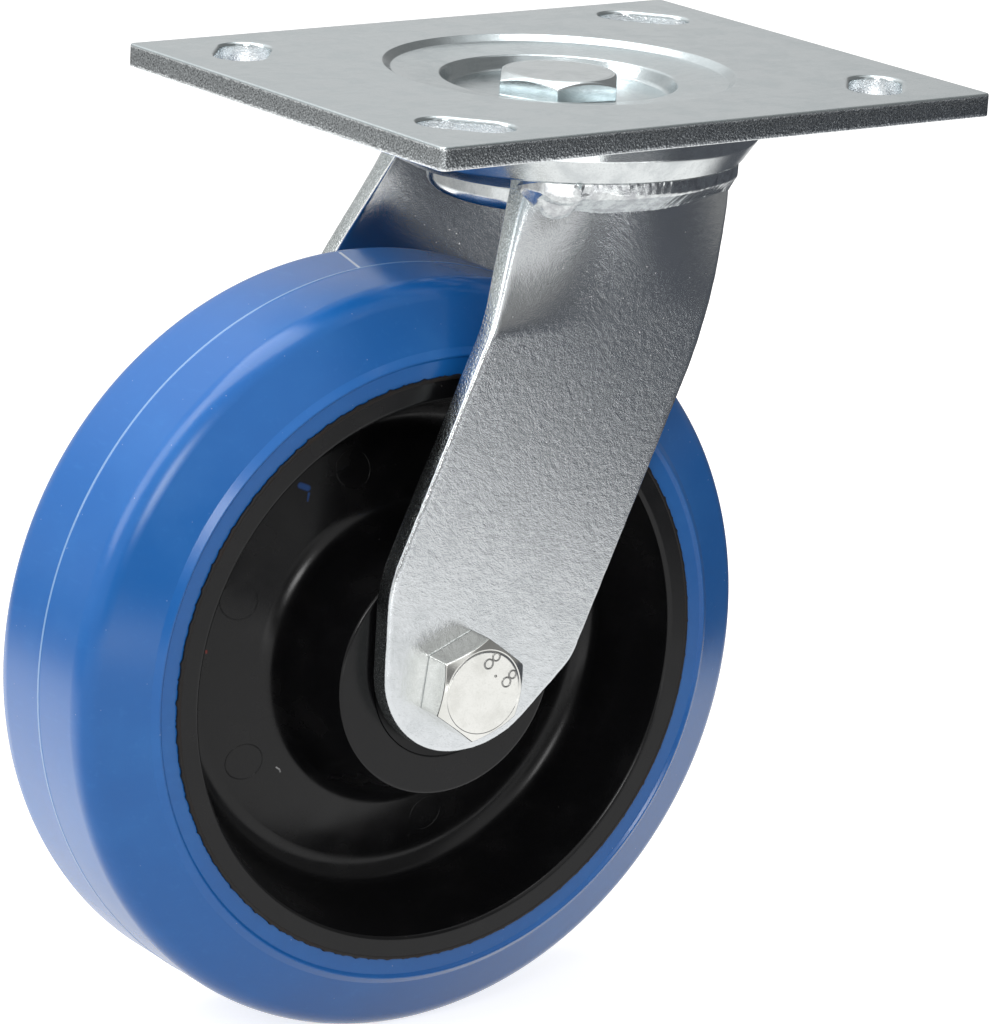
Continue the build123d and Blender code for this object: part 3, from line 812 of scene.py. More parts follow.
PALE = (0.93, 0.94, 0.95)
BLUE_SMEAR = (0.02, 0.10, 0.36)
LEG_STROKES = (
    Stroke((-14.9, -33.3, -40.2), (-11.8, -33.4, -39.6), 0.30, PALE, 0.8),
    Stroke((-17.7, -33.4, -44.3), (-16.6, -33.4, -45.4), 0.28, PALE, 0.7),
    Stroke((22.5, -26.5, -22.0), (21.6, -29.0, -25.2), 0.45, PALE),
    Stroke((21.6, -29.0, -25.2), (21.5, -30.0, -28.8), 0.40, PALE),
)
TYRE_STROKES = (
    Stroke((-5.2, -79.8, 12.4), (-8.1, -79.6, 0.5), 0.55, (0.75, 0.82, 0.90), 0.8),
    Stroke((-79.2, -11.1, -15.0), (-78.6, -12.4, -18.0), 0.35, (0.35, 0.50, 0.75), 0.6),
)
WEB_STROKES = (
    Stroke((-23.6, -36.7, -5.7), (-22.1, -36.1, -6.0), 1.1, BLUE_SMEAR),
    Stroke((-21.9, -35.0, -6.3), (-22.3, -33.6, -6.7), 0.5, BLUE_SMEAR, 0.7),
    Stroke((-27.6, 22.4, -7.7), (-26.9, 22.9, -7.8), 0.30, (0.5, 0.5, 0.5), 0.8),
    Stroke((-26.9, 22.9, -7.8), (-26.6, 23.5, -7.7), 0.25, (0.4, 0.4, 0.4), 0.7),
    Stroke((-44.2, -3.7, -5.4), (-44.2, -4.0, -5.4), 0.45, (0.25, 0.03, 0.02)),
)


class Finishes:
    """Every finish of the castor, made once."""

    def __init__(self) -> None:
        """Builds the materials."""
        self.plate = ZincFinish("zinc_plate", colour=(0.555, 0.61, 0.625), shade=(0.43, 0.485, 0.50),
                                roughness=0.21, streak=0.35, blotch_share=0.5).material()
        self.plate_edge = ShearedFinish("zinc_sheared_plate", light=(0.52, 0.55, 0.56),
                                        dark=(0.14, 0.15, 0.155), faces=(-PLATE_THICKNESS, 0.0)).material()
        # Walls of the slots: torn zinc coloured near white, painted light that makes them look lit
        self.slot_wall_painted_light = ShearedFinish("zinc_punched_painted_light", light=(0.95, 0.97, 0.98), dark=(0.68, 0.73, 0.76),
                                       depth=0.05).material()
        self.fork = ZincFinish("zinc_fork", Place.FORK, LEG_STROKES, colour=(0.70, 0.725, 0.74),
                               roughness=0.16, grain=0.28, grain_depth=0.036, blotch_share=0.3,
                               speck_share=0.5).material()
        self.fork_edge = ShearedFinish("zinc_sheared_fork", Place.FORK, light=(0.72, 0.76, 0.76),
                                       dark=(0.28, 0.31, 0.31)).material()
        self.head = ZincFinish("zinc_pressed", roughness=0.18, grain_depth=0.010).material()
        self.fastener = ZincFinish("zinc_fastener", colour=(0.80, 0.80, 0.765), shade=(0.68, 0.68, 0.64),
                                   roughness=0.15, grain_depth=0.006).material()
        self.kingpin = ZincFinish("zinc_kingpin", colour=(0.64, 0.69, 0.70), shade=(0.50, 0.55, 0.56),
                                  roughness=0.17, grain_depth=0.010).material()
        # Raised grade figures: a darker zinc that paints the shade round the embossed figures
        self.figures = ZincFinish("zinc_figures_painted_shade", colour=(0.34, 0.34, 0.33), shade=(0.22, 0.22, 0.22),
                                  roughness=0.3).material()
        self.weld = ZincFinish("zinc_weld", Place.FORK, shade=(0.42, 0.43, 0.45), grain_depth=0.02,
                               blotch=2.5, roughness=0.2).material()
        self.rubber = RubberFinish("blue_rubber", Place.AXLE, TYRE_STROKES).material()
        self.nylon = MouldedFinish("black_nylon", Place.AXLE, WEB_STROKES).material()
        self.nylon_lip = MouldedFinish("black_nylon_flash", Place.AXLE, colour=(0.010, 0.008, 0.007),
                                       worn=(0.035, 0.02, 0.014), roughness=0.5, texture=0.04).material()
        self.cap = MouldedFinish("black_cap", Place.AXLE, roughness=0.42).material()
        self.ball = ZincFinish("ground_steel", colour=(0.78, 0.78, 0.79), shade=(0.7, 0.7, 0.71),
                               roughness=0.1, grain_depth=0.0005).material()
        self.tube = ZincFinish("drawn_tube", roughness=0.28).material()
        self.cage = MouldedFinish("natural_nylon", colour=(0.6, 0.55, 0.42), worn=(0.7, 0.66, 0.55),
                                  roughness=0.45).material()
        self.insert = MouldedFinish("locking_ring", colour=(0.06, 0.16, 0.42), worn=(0.1, 0.22, 0.5),
                                    roughness=0.4).material()


# ---------------------------------------------------------------- pieces


@dataclass
class TopPlate:
    """Plate with four diagonal slots and a dish pressed down in its middle, in millimetres."""

    length: float = 140.0
    width: float = 110.0
    corner: float = 1.2
    slot_x: float = 52.5
    slot_y: float = 38.75
    slot_length: float = 20.5
    slot_width: float = 11.6
    slot_turn: float = 49.0
    slot_roll: float = 0.8
    slot_close: float = 0.5  # how much the rounded rim closes the slot in
    roll: float = 0.4
    burr: float = 0.3
    split: float = 42.0  # where the quarter with a slot meets the middle
    quarter_points: tuple = (18, 34, 7, 16)  # along its low side, its end, its corner and its long side
    split_points: int = 36  # along half of the line where it meets the middle
    middle_points: int = 60  # along the middle's part of a long side
    press_edge: float = 38.6  # radius where the pressing begins
    groove_and_dish: tuple = (  # (radius, height, rounding) of the upper face's turns
        (36.6, 0, 0.6), (34.9, -1.25, 0.7), (24.6, -2.1, 0.7), (23.2, DISH_FLOOR, 1.2),
    )
    dish_heel: tuple = ((27.7, DISH_UNDERSIDE, 0.8), (28.6, -9.1, 0.4))  # the dish's outer corner below
    track_shoulder: tuple = ((33.8, -6.05, 0), (36.3, -PLATE_THICKNESS, 0.8))

    def quarter(self, inset: float) -> tuple[Line, int, int]:
        """Outline of the quarter that holds a slot, drawn in from the plate's edge.

        Args:
            inset: How far it is drawn in.

        Returns:
            The closed outline, and the numbers of its first and last point on the plate's edge.
        """
        high_x, high_y = self.length / 2 - inset, self.width / 2 - inset
        knee = (self.length / 2 - self.corner, self.width / 2 - self.corner)
        low_points, end_points, bend_points, top_points = self.quarter_points
        low = np.linspace((self.split, 0), (high_x, 0), low_points)[:-1]
        side = np.linspace((high_x, 0), (high_x, knee[1]), end_points)[:-1]
        bend = circle(*knee, self.corner - inset, np.linspace(0, math.pi / 2, bend_points))
        top = np.linspace((knee[0], high_y), (self.split, high_y), top_points)[1:]
        inside = np.linspace((self.split, high_y), (self.split, 0), self.split_points)[1:-1]
        loop = np.concatenate([low, side, bend, top, inside])
        return loop, len(low), len(loop) - len(inside) - 1

    def middle(self, inset: float) -> Line:
        """Closed outline of the plate's middle, between the quarters, drawn in from the plate's edge.

        Args:
            inset: How far it is drawn in.

        Returns:
            Its points, anticlockwise from the front left corner.
        """
        across = np.linspace(self.width / 2 - inset, 0, self.split_points)
        right = np.append(-across, across[::-1][1:])
        along = np.linspace(self.split, -self.split, self.middle_points)
        half = np.concatenate([
            np.column_stack([np.full_like(right, self.split), right])[:-1],
            np.column_stack([along, np.full_like(along, across[0])])[:-1],
        ])
        return np.concatenate([half, -half])

    def slot_edge(self, angles: np.ndarray, grow: float) -> Line:
        """Point of a slot's outline in each direction from its centre.

        In the slot's own frame a direction (c, s) meets the straight side at w / s where that lies within
        the half length h of the straight run, and otherwise the end's circle at hc + sqrt(w^2 - (hs)^2).

        Args:
            angles: Directions.
            grow: How far the outline is moved out from the slot.

        Returns:
            The points, about the slot's centre.
        """
        half = (self.slot_length - self.slot_width) / 2
        wide = self.slot_width / 2 + grow
        local = angles + math.radians(self.slot_turn)
        c, s = np.abs(np.cos(local)), np.abs(np.sin(local))
        straight = wide / np.maximum(s, 1e-9)
        end = half * c + np.sqrt(np.maximum(wide ** 2 - (half * s) ** 2, 0))
        reach = np.where(straight * c <= half, straight, end)
        return reach[:, None] * headings(angles)

    def pressing(self) -> Line:
        """Section of the dish from the plate's upper face round the kingpin's hole to its lower face.

        Returns:
            (radius, height) points.
        """
        upper = rounded_line([
            (self.press_edge, 0, 0), *self.groove_and_dish, (KINGPIN_HOLE, DISH_FLOOR, 0.3),
            (KINGPIN_HOLE, DISH_UNDERSIDE, 0.3), *self.dish_heel,
        ])
        track = arc(UPPER_PITCH, UPPER_HEIGHT, UPPER_TRACK, 165, 90, 7)
        lower = rounded_line([*self.track_shoulder, (self.press_edge, -PLATE_THICKNESS, 0)])
        return np.concatenate([upper[:-1], track, lower])

    def build(self, finishes: Finishes) -> None:
        """Builds the four quarters, the middle and the pressed dish as one closed mesh.

        Args:
            finishes: Every finish of the castor.
        """
        shell = Shell()
        wall = edge_rows(self.roll, self.burr, PLATE_THICKNESS)
        punched = edge_rows(self.slot_roll, self.burr, PLATE_THICKNESS)
        top, first, last = self.quarter(self.roll)
        bottom = self.quarter(self.burr)[0]
        centre = np.array((self.slot_x, self.slot_y))
        seen = np.arctan2(*(top - centre).T[::-1])
        edge = np.stack([flat(self.quarter(inset)[0][first:last + 1], -depth) for inset, depth in wall])
        hole = np.stack([
            flat(centre + self.slot_edge(seen, inset - self.slot_close), -depth) for inset, depth in punched
        ])
        long_side = slice(2 * self.split_points - 2, 2 * self.split_points - 2 + self.middle_points)
        front = np.stack([flat(self.middle(inset)[long_side], -depth) for inset, depth in wall])
        for i in (-1, 1):
            for j in (-1, 1):
                flip = np.array((i, j, 1))
                shell.add(edge[:EDGE_ARC + 1] * flip, 0)
                shell.add(edge[EDGE_ARC:] * flip, 1)
                shell.add(hole[:EDGE_ARC + 1] * flip, 0, round_columns=True)
                shell.add(hole[EDGE_ARC:] * flip, 2, round_columns=True)
                shell.add(between(hole[0], flat(top, 0), spread(8)) * flip, 0, round_columns=True)
                shell.add(between(hole[-1], flat(bottom, -PLATE_THICKNESS), spread(4)) * flip, 0,
                          round_columns=True)
            shell.add(front[:EDGE_ARC + 1] * (1, i, 1), 0)
            shell.add(front[EDGE_ARC:] * (1, i, 1), 1)
        angles = np.arctan2(*self.middle(self.roll).T[::-1])
        for inset, height in ((self.roll, 0.0), (self.burr, -PLATE_THICKNESS)):
            rim = flat(circle(0, 0, self.press_edge, angles), height)
            shell.add(between(rim, flat(self.middle(inset), height), spread(8)), 0, round_columns=True)
        shell.add(turned(self.pressing(), angles), 0, round_columns=True)
        materials = [finishes.plate, finishes.plate_edge, finishes.slot_wall_painted_light]
        shell.piece("top_plate_dressed", Place.PLATE, materials, Body.PLATE, "zinc_plate", ("top_plate",))


@dataclass
class HexBolt:
    """Hexagon bolt about Z with its head on top, in millimetres."""

    flats: float
    low: float  # underside of the head
    high: float  # top of the head
    angle: float  # heading of a corner, in degrees
    radius: float  # of the shank
    end: float  # height of the shank's end
    thread: float  # length of the threaded end
    pitch: float = 2.0
    face_inset: float = 0.5
    cone: float = 30.0
    corner_round: float = 0.35
    crest: float = 0.25  # rounding between the cone and the flats
    face_rows: tuple = (  # (share of the face's radius, dip) of its rows, with a fine groove near the rim
        (0.5, 0.0), (0.9, 0.0), (0.955, 0.0), (0.965, 0.05), (0.975, 0.05), (0.985, 0.0),
    )
    underside: tuple = ((0.0, 0.5), (0.0, 0.35), (0.1, 0.08), (0.4, 0.0))  # (inset, height) of its edge
    sunk: float = 0.2  # how far the shank reaches into the head
    tip: tuple = ((0.9, 0.0), (0.2, 0.4))  # (inset, height) of the shank's rounded end
    thread_start: float = 0.9
    thread_depth: float = 0.54  # share of the pitch
    thread_fade: float = 1.2  # length over which the thread runs out
    shank_segments: int = 72

    def outline(self) -> tuple[np.ndarray, np.ndarray]:
        """Hexagon with rounded corners.

        At an angle a from the middle of a flat the outline lies at F / cos a, F being half the flats. Past
        the end of the flat it is the corner's circle of radius r, whose centre lies c = (F - r) / cos 30
        out: c cos b + sqrt(r^2 - (c sin b)^2), with b = 30 degrees - a.

        Returns:
            Unit vectors, and the distance of the outline along each.
        """
        half, bend = self.flats / 2, self.corner_round
        knee = math.atan((half - bend) * math.tan(math.pi / 6) / half)
        local = np.concatenate([np.linspace(-knee, knee, 17), np.linspace(knee, math.pi / 3 - knee, 6)[1:-1]])
        corner = (half - bend) / math.cos(math.pi / 6)
        beside = math.pi / 6 - local
        curve = corner * np.cos(beside) + np.sqrt(np.maximum(bend ** 2 - (corner * np.sin(beside)) ** 2, 0))
        reach = np.where(local <= knee + 1e-9, half / np.cos(local), curve)
        turns = math.radians(self.angle + 30) + np.arange(6)[:, None] * math.pi / 3
        angles = (turns + local).ravel()
        return headings(angles), np.tile(reach, 6)

    def turned_off(self, reach: np.ndarray, high: float, down: float) -> list[tuple]:
        """Rows from a hexagon's end face over its cone to its flats, as (radius, height) for each column.

        The face ends at F - inset in a fine groove. Beyond it the height falls by (radius - face) * tan(cone)
        nearly up to the outline. A bend leads down to the flat: at a share p of it the height has fallen by
        crest * (1.2 p^2 + 0.5 p) more.

        Args:
            reach: Distance of the outline along each column.
            high: Height of the face.
            down: -1 for a face that looks up, 1 for one that looks down.

        Returns:
            The rows from the face's rim outwards.
        """
        face = np.minimum(self.flats / 2 - self.face_inset, reach)
        slope = math.tan(math.radians(self.cone))
        rows = [(face * share, high + down * dip) for share, dip in self.face_rows]
        for share in (0.0, 0.08, 0.5, 0.92):
            radius = face + (reach - self.crest - face).clip(0) * share
            rows.append((radius, high + down * (radius - face) * slope))
        rim = reach - self.crest
        drop = (rim - face).clip(0) * slope
        for share in (0.0, 0.35, 0.7, 1.0):
            angle = math.radians(90 - self.cone) * share
            radius = rim + self.crest * math.sin(angle) / math.sin(math.radians(90 - self.cone))
            rows.append((radius, high + down * (drop + self.crest * (1.2 * share ** 2 + 0.5 * share))))
        rows.append((reach, high + down * (drop + self.crest * 2.4)))
        return rows

    def head(self) -> Grid:
        """Head: a round face on top, a cone that turns the corners off, six flats and a flat underside.

        Returns:
            The grid, from the top down.
        """
        unit, reach = self.outline()
        edge = [(reach - inset, self.low + height) for inset, height in self.underside]
        rows = [(0.0, self.high), *self.turned_off(reach, self.high, -1), *edge, (0.0, self.low)]
        return swept(unit, rows)

    def shank(self) -> Grid:
        """Shank whose end is threaded.

        The radius falls by the thread's depth times |2 p - 1|^0.8, with p the fraction of height / pitch -
        angle / 2 pi, and the thread fades out at both ends.

        Returns:
            The grid, from the end up.
        """
        depth = self.thread_depth * self.pitch
        angles = around(self.shank_segments)
        heights = np.arange(self.end + self.thread_start, self.end + self.thread, self.pitch / 8)
        phase = (heights[:, None] / self.pitch - angles / math.tau) % 1
        groove = np.abs(phase - 0.5) * 2
        lead = np.clip((heights - heights[0]) / self.thread_fade, 0, 1)
        fade = lead * np.clip((heights[-1] - heights) / self.thread_fade, 0, 1)
        start = heights < heights.mean()
        base = np.where(start, depth, 0.0)[:, None] * (1 - fade[:, None])
        radius = self.radius - base - depth * fade[:, None] * groove ** 0.8
        tip = [(self.radius - depth - inset, self.end + height) for inset, height in self.tip]
        neck = self.low + self.sunk
        return swept(headings(angles), [
            (0, self.end), *tip, *zip(radius, heights), (self.radius, neck), (0, neck),
        ])

    def add_to(self, shell: Shell) -> None:
        """Adds the head and the shank to a shell."""
        shell.add(self.head(), 0, round_columns=True)
        shell.add(self.shank(), 0, round_columns=True)


@dataclass
class LockNut:
    """Hexagon lock nut about Z, seated at the bottom, whose collar holds a plastic ring, in millimetres."""

    flats: float
    seat: float
    height: float
    collar: float  # height of the collar
    bore: float
    angle: float = 0.0
    collar_inset: float = 1.2
    collar_wall: float = 1.5
    lip: float = 0.4

    def nut(self) -> Grid:
        """Nut as a closed ring of rows: seat, cone, flats, cone, collar and bore.

        Returns:
            The grid.
        """
        hexagon = HexBolt(self.flats, low=0, high=0, angle=self.angle, radius=0, end=0, thread=0)
        unit, reach = hexagon.outline()
        cone = slice(len(hexagon.face_rows), None)
        lower = hexagon.turned_off(reach, 0.0, 1)[cone]
        upper = hexagon.turned_off(reach, self.height, -1)[cone][::-1]
        outside, top = self.flats / 2 - self.collar_inset, self.height + self.collar
        inside = outside - self.collar_wall
        collar = rounded_line([
            (outside, self.height, 0), (outside, top, 1.5), (inside, top, 0.1), (inside, self.height, 0.1),
            (self.bore, self.height, 0.1), (self.bore, 0, 0.3), (self.flats / 2 - 1, 0, 0),
        ])
        return swept(unit, [*lower, *upper, *collar]) + (0, 0, self.seat)

    def ring(self) -> Grid:
        """Plastic ring held in the collar, with rounded edges.

        Returns:
            The grid.
        """
        outside = self.flats / 2 - self.collar_inset - self.collar_wall
        top = self.height + self.collar - self.lip
        line = rounded_line([
            (self.bore, self.height, 0.2), (outside, self.height, 0.2), (outside, top, 0.3),
            (self.bore, top, 0.8),
        ], closed=True)
        return turned(line + (0, self.seat), around(96))


@dataclass
class SwivelHead:
    """Kingpin, bowl and lower race of the double ball race head, in millimetres."""

    lower_pitch: float = 21.8
    lower_height: float = -20.8
    lower_track: float = 2.65
    bowl_hole: float = 18.2
    bowl_side: tuple = (  # (radius, height, rounding) of the turns of its outside
        (42.35, -5.7, 1.2), (42.35, -11.0, 1.6), (39.25, -15.7, 1.2), (31.5, -19.35, 1.6),
    )
    race_rim: tuple = ((24.45, -20.2, 0.2), (26.35, -20.2, 0.5), (26.35, -25.55, 2.6))
    race_hub: float = 17.0
    race_foot: float = -25.55
    nut_room: float = 14.4  # radius of the room for the kingpin's nut
    nut_room_edge: float = -22.95
    nut_seat: float = -13.95
    bowl_segments: int = 288
    race_segments: int = 224

    def bowl(self) -> Line:
        """Section of the bowl: down its outside, over the lower balls, up the corner of the upper ones.

        Returns:
            (radius, height) points.
        """
        rim, low = self.bowl_side[0][1], self.bowl_side[-1][1]
        lift = math.degrees(math.asin((low - self.lower_height) / self.lower_track))
        half = self.lower_track * math.cos(math.radians(lift))
        floor = UPPER_HEIGHT - UPPER_TRACK
        outside = rounded_line([
            (UPPER_PITCH + UPPER_TRACK, rim, 0), *self.bowl_side, (self.lower_pitch + half, low, 0),
        ])
        inside = rounded_line([
            (self.lower_pitch - half, low, 0), (self.bowl_hole, low, 0.3), (self.bowl_hole, floor, 0.3),
            (UPPER_PITCH, floor, 0),
        ])
        return np.concatenate([
            outside[:-1], arc(self.lower_pitch, self.lower_height, self.lower_track, lift, 180 - lift),
            inside[1:-1], arc(UPPER_PITCH, UPPER_HEIGHT, UPPER_TRACK, -90, 0),
        ])

    def race(self) -> Line:
        """Section of the lower race: the cup's track, its rim, its rounded underside and its hub.

        Returns:
            (radius, height) points.
        """
        track = arc(self.lower_pitch, self.lower_height, self.lower_track, 195, 360, 12)
        rim = rounded_line([
            (*track[-1], 0), *self.race_rim, (self.race_hub, self.race_foot, 0.3),
            (self.nut_room, self.nut_room_edge, 0.2), (self.nut_room, self.nut_seat, 0.2),
            (KINGPIN_HOLE, self.nut_seat, 0.2), (KINGPIN_HOLE, DISH_UNDERSIDE, 0.2),
            (self.race_hub, DISH_UNDERSIDE, 0.2),
            (self.race_hub, track[0][1] + track[0][0] - self.race_hub, 0.2), (*track[0], 0),
        ])
        return np.concatenate([track[:-1], rim[:-1]])

    def build(self, finishes: Finishes) -> None:
        """Builds the bowl, the race, the kingpin and its nut, which hangs upside down.

        Args:
            finishes: Every finish of the castor.
        """
        kingpin, nut = Shell(), LockNut(24.0, -self.nut_seat, height=12.0, collar=4.0, bore=8.05)
        HexBolt(24.0, DISH_FLOOR, -0.55, angle=51.5, radius=8.0, end=-31.95, thread=18.0).add_to(kingpin)
        bowl = closed(turned(self.bowl(), around(self.bowl_segments)))
        race = closed(turned(self.race(), around(self.race_segments)))
        bowl.piece("swivel_bowl", Place.FORK, [finishes.head], Body.FORK, "zinc_fork", ("swivel_head",))
        for shell, name, finish, slot, node in (
            (race, "lower_race_ring", finishes.head, "zinc_plate", "lower_race"),
            (kingpin, "kingpin", finishes.kingpin, "zinc_fastener", "kingpin_bolt"),
            (closed(nut.nut() * (1, 1, -1)), "kingpin_lock_nut", finishes.fastener, "zinc_fastener",
             "kingpin_nut"),
            (closed(nut.ring() * (1, 1, -1)), "kingpin_lock_ring", finishes.insert, "insert_plastic",
             "kingpin_nut_insert"),
        ):
            shell.piece(name, Place.PLATE, [finish], Body.PLATE, slot, (node,))


@dataclass(frozen=True)
class BeadMark:
    """Hill or pit of a weld bead: a smooth round bump at a place along the bead and down its section."""

    along: float  # millimetres in front of the swivel axis
    down: float  # share of the section's length, from the bowl to the leg
    wide: float
    tall: float  # share of the section's length
    height: float
    rough: bool = False  # whether its depth is uneven


@dataclass
class Fork:
    """The two legs and the weld beads that join them to the bowl, in millimetres."""

    curl_radius: float = 35.0
    curl_top: float = -14.0
    curl_end: float = -46.0
    curl_power: float = 1.5
    split: float = -99.0  # height where the upper part of a leg meets its foot
    split_gap: float = 0.5
    edge_points: int = 90  # along each edge above the split
    foot_points: int = 110
    roll: float = 0.9
    burr: float = 0.6
    edge_waves: Waves = Waves(0.22, 4, 7.0)  # of the width of the rolled edge
    corners: tuple = (
        (-21.4, -11.0, 0), (-57.2, -95.8, 25.0), (-57.2, -132.9, 18.5), (-29.0, -132.9, 22.0),
        (-11.5, -116.5, 12.0), (14.8, -54.1, 80.0), (22.0, -29.0, 60.0), (31.0, -11.0, 0),
    )
    seat: tuple = (39.25, -15.7)  # (radius, height) where the cone of the bowl's underside begins
    seat_slope: float = 3.65 / 7.75  # fall of that cone for each millimetre inwards
    seat_depth: float = 0.5  # how far a leg reaches into the bowl
    seat_heights: tuple = (-17.0, -17.5)  # about where a leg's top lies: at its middle and at its edges
    bead_depth: float = 0.12  # how far the bead's toe reaches into the leg
    bead_wall: float = 39.3  # radius of the bead's upper wall
    bead_top: float = -15.6
    bead_ends: tuple = (-25.3, 27.4)
    bead_full: tuple = (-23.6, 24.6)  # between these the bead has its full section
    bead_root: float = -17.8  # height of the line in the metal that its ends shrink onto
    bead_root_depth: tuple = (-18.5, 1.6)  # height of the leg at which that line's depth is taken, and depth
    bead_grid: tuple = (330, 40)  # points along it and round its section
    bead_section: tuple = ((5.75, 0, 0), (5.60, -3.1, 1.3), (0, -7.4, 0))  # out from the leg, down
    bead_toe: tuple = (  # where the bead meets the leg
        (-25.3, -20.6), (-24.4, -21.3), (-23.2, -22.1), (-21.9, -23.4), (-20.4, -24.0), (-19.0, -23.8),
        (-17.4, -23.4), (-16.3, -22.2), (-12.8, -22.7), (-10.7, -22.9), (-1.5, -23.0), (3.5, -23.0),
        (8.9, -22.7), (14.9, -22.0), (19.9, -21.75), (25.2, -22.0), (27.6, -22.0),
    )
    bead_toe_waves: Waves = Waves(0.10, 3, 3.0)
    bead_ripple: tuple = (0.02, 1.9, 2.4)  # height, length and bow
    bead_swell: Waves = Waves(0.10, 5, 14.0, 3, 3.0)
    bead_rough: Waves = Waves(0.55, 21, 1.8, 5, 2.0)  # of the depth of rough marks
    bead_seams: tuple = (  # ragged seams: (unevenness, place down the section, width)
        (Waves(0.08, 12, 2.2, 5, 0.7), 0.03, 0.055), (Waves(0.12, 14, 1.6, 5, -1.1), 0.95, 0.05),
    )
    bead_marks: tuple = (
        BeadMark(-20.5, 0.85, 3.2, 0.12, 0.2),  # lobe where the bead was started
        BeadMark(-21.3, 0.55, 2.3, 0.085, -0.4, rough=True),  # burnt notch and its tail
        BeadMark(-24.0, 0.42, 1.2, 0.1, -0.1, rough=True),
        BeadMark(-17.9, 0.12, 0.6, 0.07, 0.8),  # drop of spatter with a hollow beside it
        BeadMark(-16.4, 0.22, 0.9, 0.08, -0.45, rough=True),
        BeadMark(-13.5, 0.30, 1.6, 0.06, -0.3, rough=True),
    )

    def face(self, u: np.ndarray, z: np.ndarray, depth: np.ndarray | float) -> np.ndarray:
        """Distance from the middle of a leg's surface, which curls round the bowl at its top.

        At height z the outer face is an arc of radius R = curl radius / share^power, where share goes from 0
        at the end of the curl to 1 at its top. A point at a depth d below that face lies on the arc of radius
        R - d about the same centre: outer - d - u^2 / (R - d) / (1 + sqrt(1 - (u / (R - d))^2)).

        Args:
            u: Distance in front of the swivel axis.
            z: Height.
            depth: Below the outer face.

        Returns:
            The distance from the middle plane.
        """
        share = np.clip((z - self.curl_end) / (self.curl_top - self.curl_end), 1e-4, 1)
        radius = self.curl_radius / share ** self.curl_power - depth
        sag = u ** 2 / radius / (1 + np.sqrt(np.maximum(1 - (u / radius) ** 2, 0)))
        return LEG_OUTER - depth - sag

    def bowl_height(self, u: np.ndarray) -> np.ndarray:
        """Height of a leg's top edge, just inside the cone of the bowl's underside.

        Args:
            u: Distance in front of the swivel axis.

        Returns:
            The height for each u.
        """
        radius, height = self.seat
        reach = np.hypot(u, self.face(u, np.full_like(u, self.seat_heights[0]), 0.0))
        return height - (radius - reach) * self.seat_slope + self.seat_depth

    def outline(self) -> tuple[Line, Line, Line]:
        """Edges of a leg in the plane of its length.

        Returns:
            The back edge and the front edge from the top down to the split, and the foot from the back
            round to the front.
        """
        line = rounded_line(self.corners, steps=24, support=2.0)
        low = int(np.argmin(line[:, 1]))
        back, front = line[:low + 1], line[low:][::-1]

        def sampled(edge: Line) -> Line:
            """Points at even heights along an edge, from its top just inside the bowl down to the split.

            Args:
                edge: Points of the edge from the top down.

            Returns:
                The points.
            """
            forward, down = edge[:, 0], -edge[:, 1]
            top = self.bowl_height(np.interp([-self.seat_heights[1]], down, forward))
            heights = np.linspace(float(top[0]), self.split, self.edge_points)
            return np.stack([np.interp(-heights, down, forward), heights], 1)

        def below(edge: Line) -> Line:
            """The points of an edge that lie clear below the split."""
            return edge[edge[:, 1] < self.split - self.split_gap]

        upper_back, upper_front = sampled(back), sampled(front)
        foot = np.concatenate([upper_back[-1:], below(back), below(front)[::-1][1:], upper_front[-1:]])
        return upper_back, upper_front, evenly(foot, self.foot_points)

    def drawn_in(self, line: Line, inset: np.ndarray) -> Line:
        """Edge moved to its left by inset, along normals from the points beside each point.

        Args:
            line: The edge.
            inset: How far each point is moved.

        Returns:
            The moved edge.
        """
        along = np.gradient(line, axis=0)
        along /= np.linalg.norm(along, axis=1)[:, None]
        return line + inset[:, None] * np.stack([-along[:, 1], along[:, 0]], 1)

    def raised(self, points: Line, depth: float) -> np.ndarray:
        """Puts points of the leg's plane on the surface at a depth."""
        u, z = points[..., 0], points[..., 1]
        return np.stack([u, self.face(u, z, depth), z], -1)

    def topped(self, left: Line, right: Line) -> np.ndarray:
        """Rows of points from the back edge to the front edge, whose first row follows the bowl.

        The straight row between the two edges' tops is lifted to the bowl's height, less what that would
        lift its two ends, and the lift fades down the leg.

        Args:
            left: Points of the back edge from the top down.
            right: Points of the front edge.

        Returns:
            (rows, columns, 2) points.
        """
        columns = spread(26, 0.015)
        grid = left[:, None] + columns[None, :, None] * (right - left)[:, None]
        lift = self.bowl_height(grid[0, :, 0]) - grid[0, :, 1]
        lift -= lift[0] + columns * (lift[-1] - lift[0])
        grid[..., 1] += np.linspace(1, 0, len(left))[:, None] ** 2 * lift[None]
        return grid

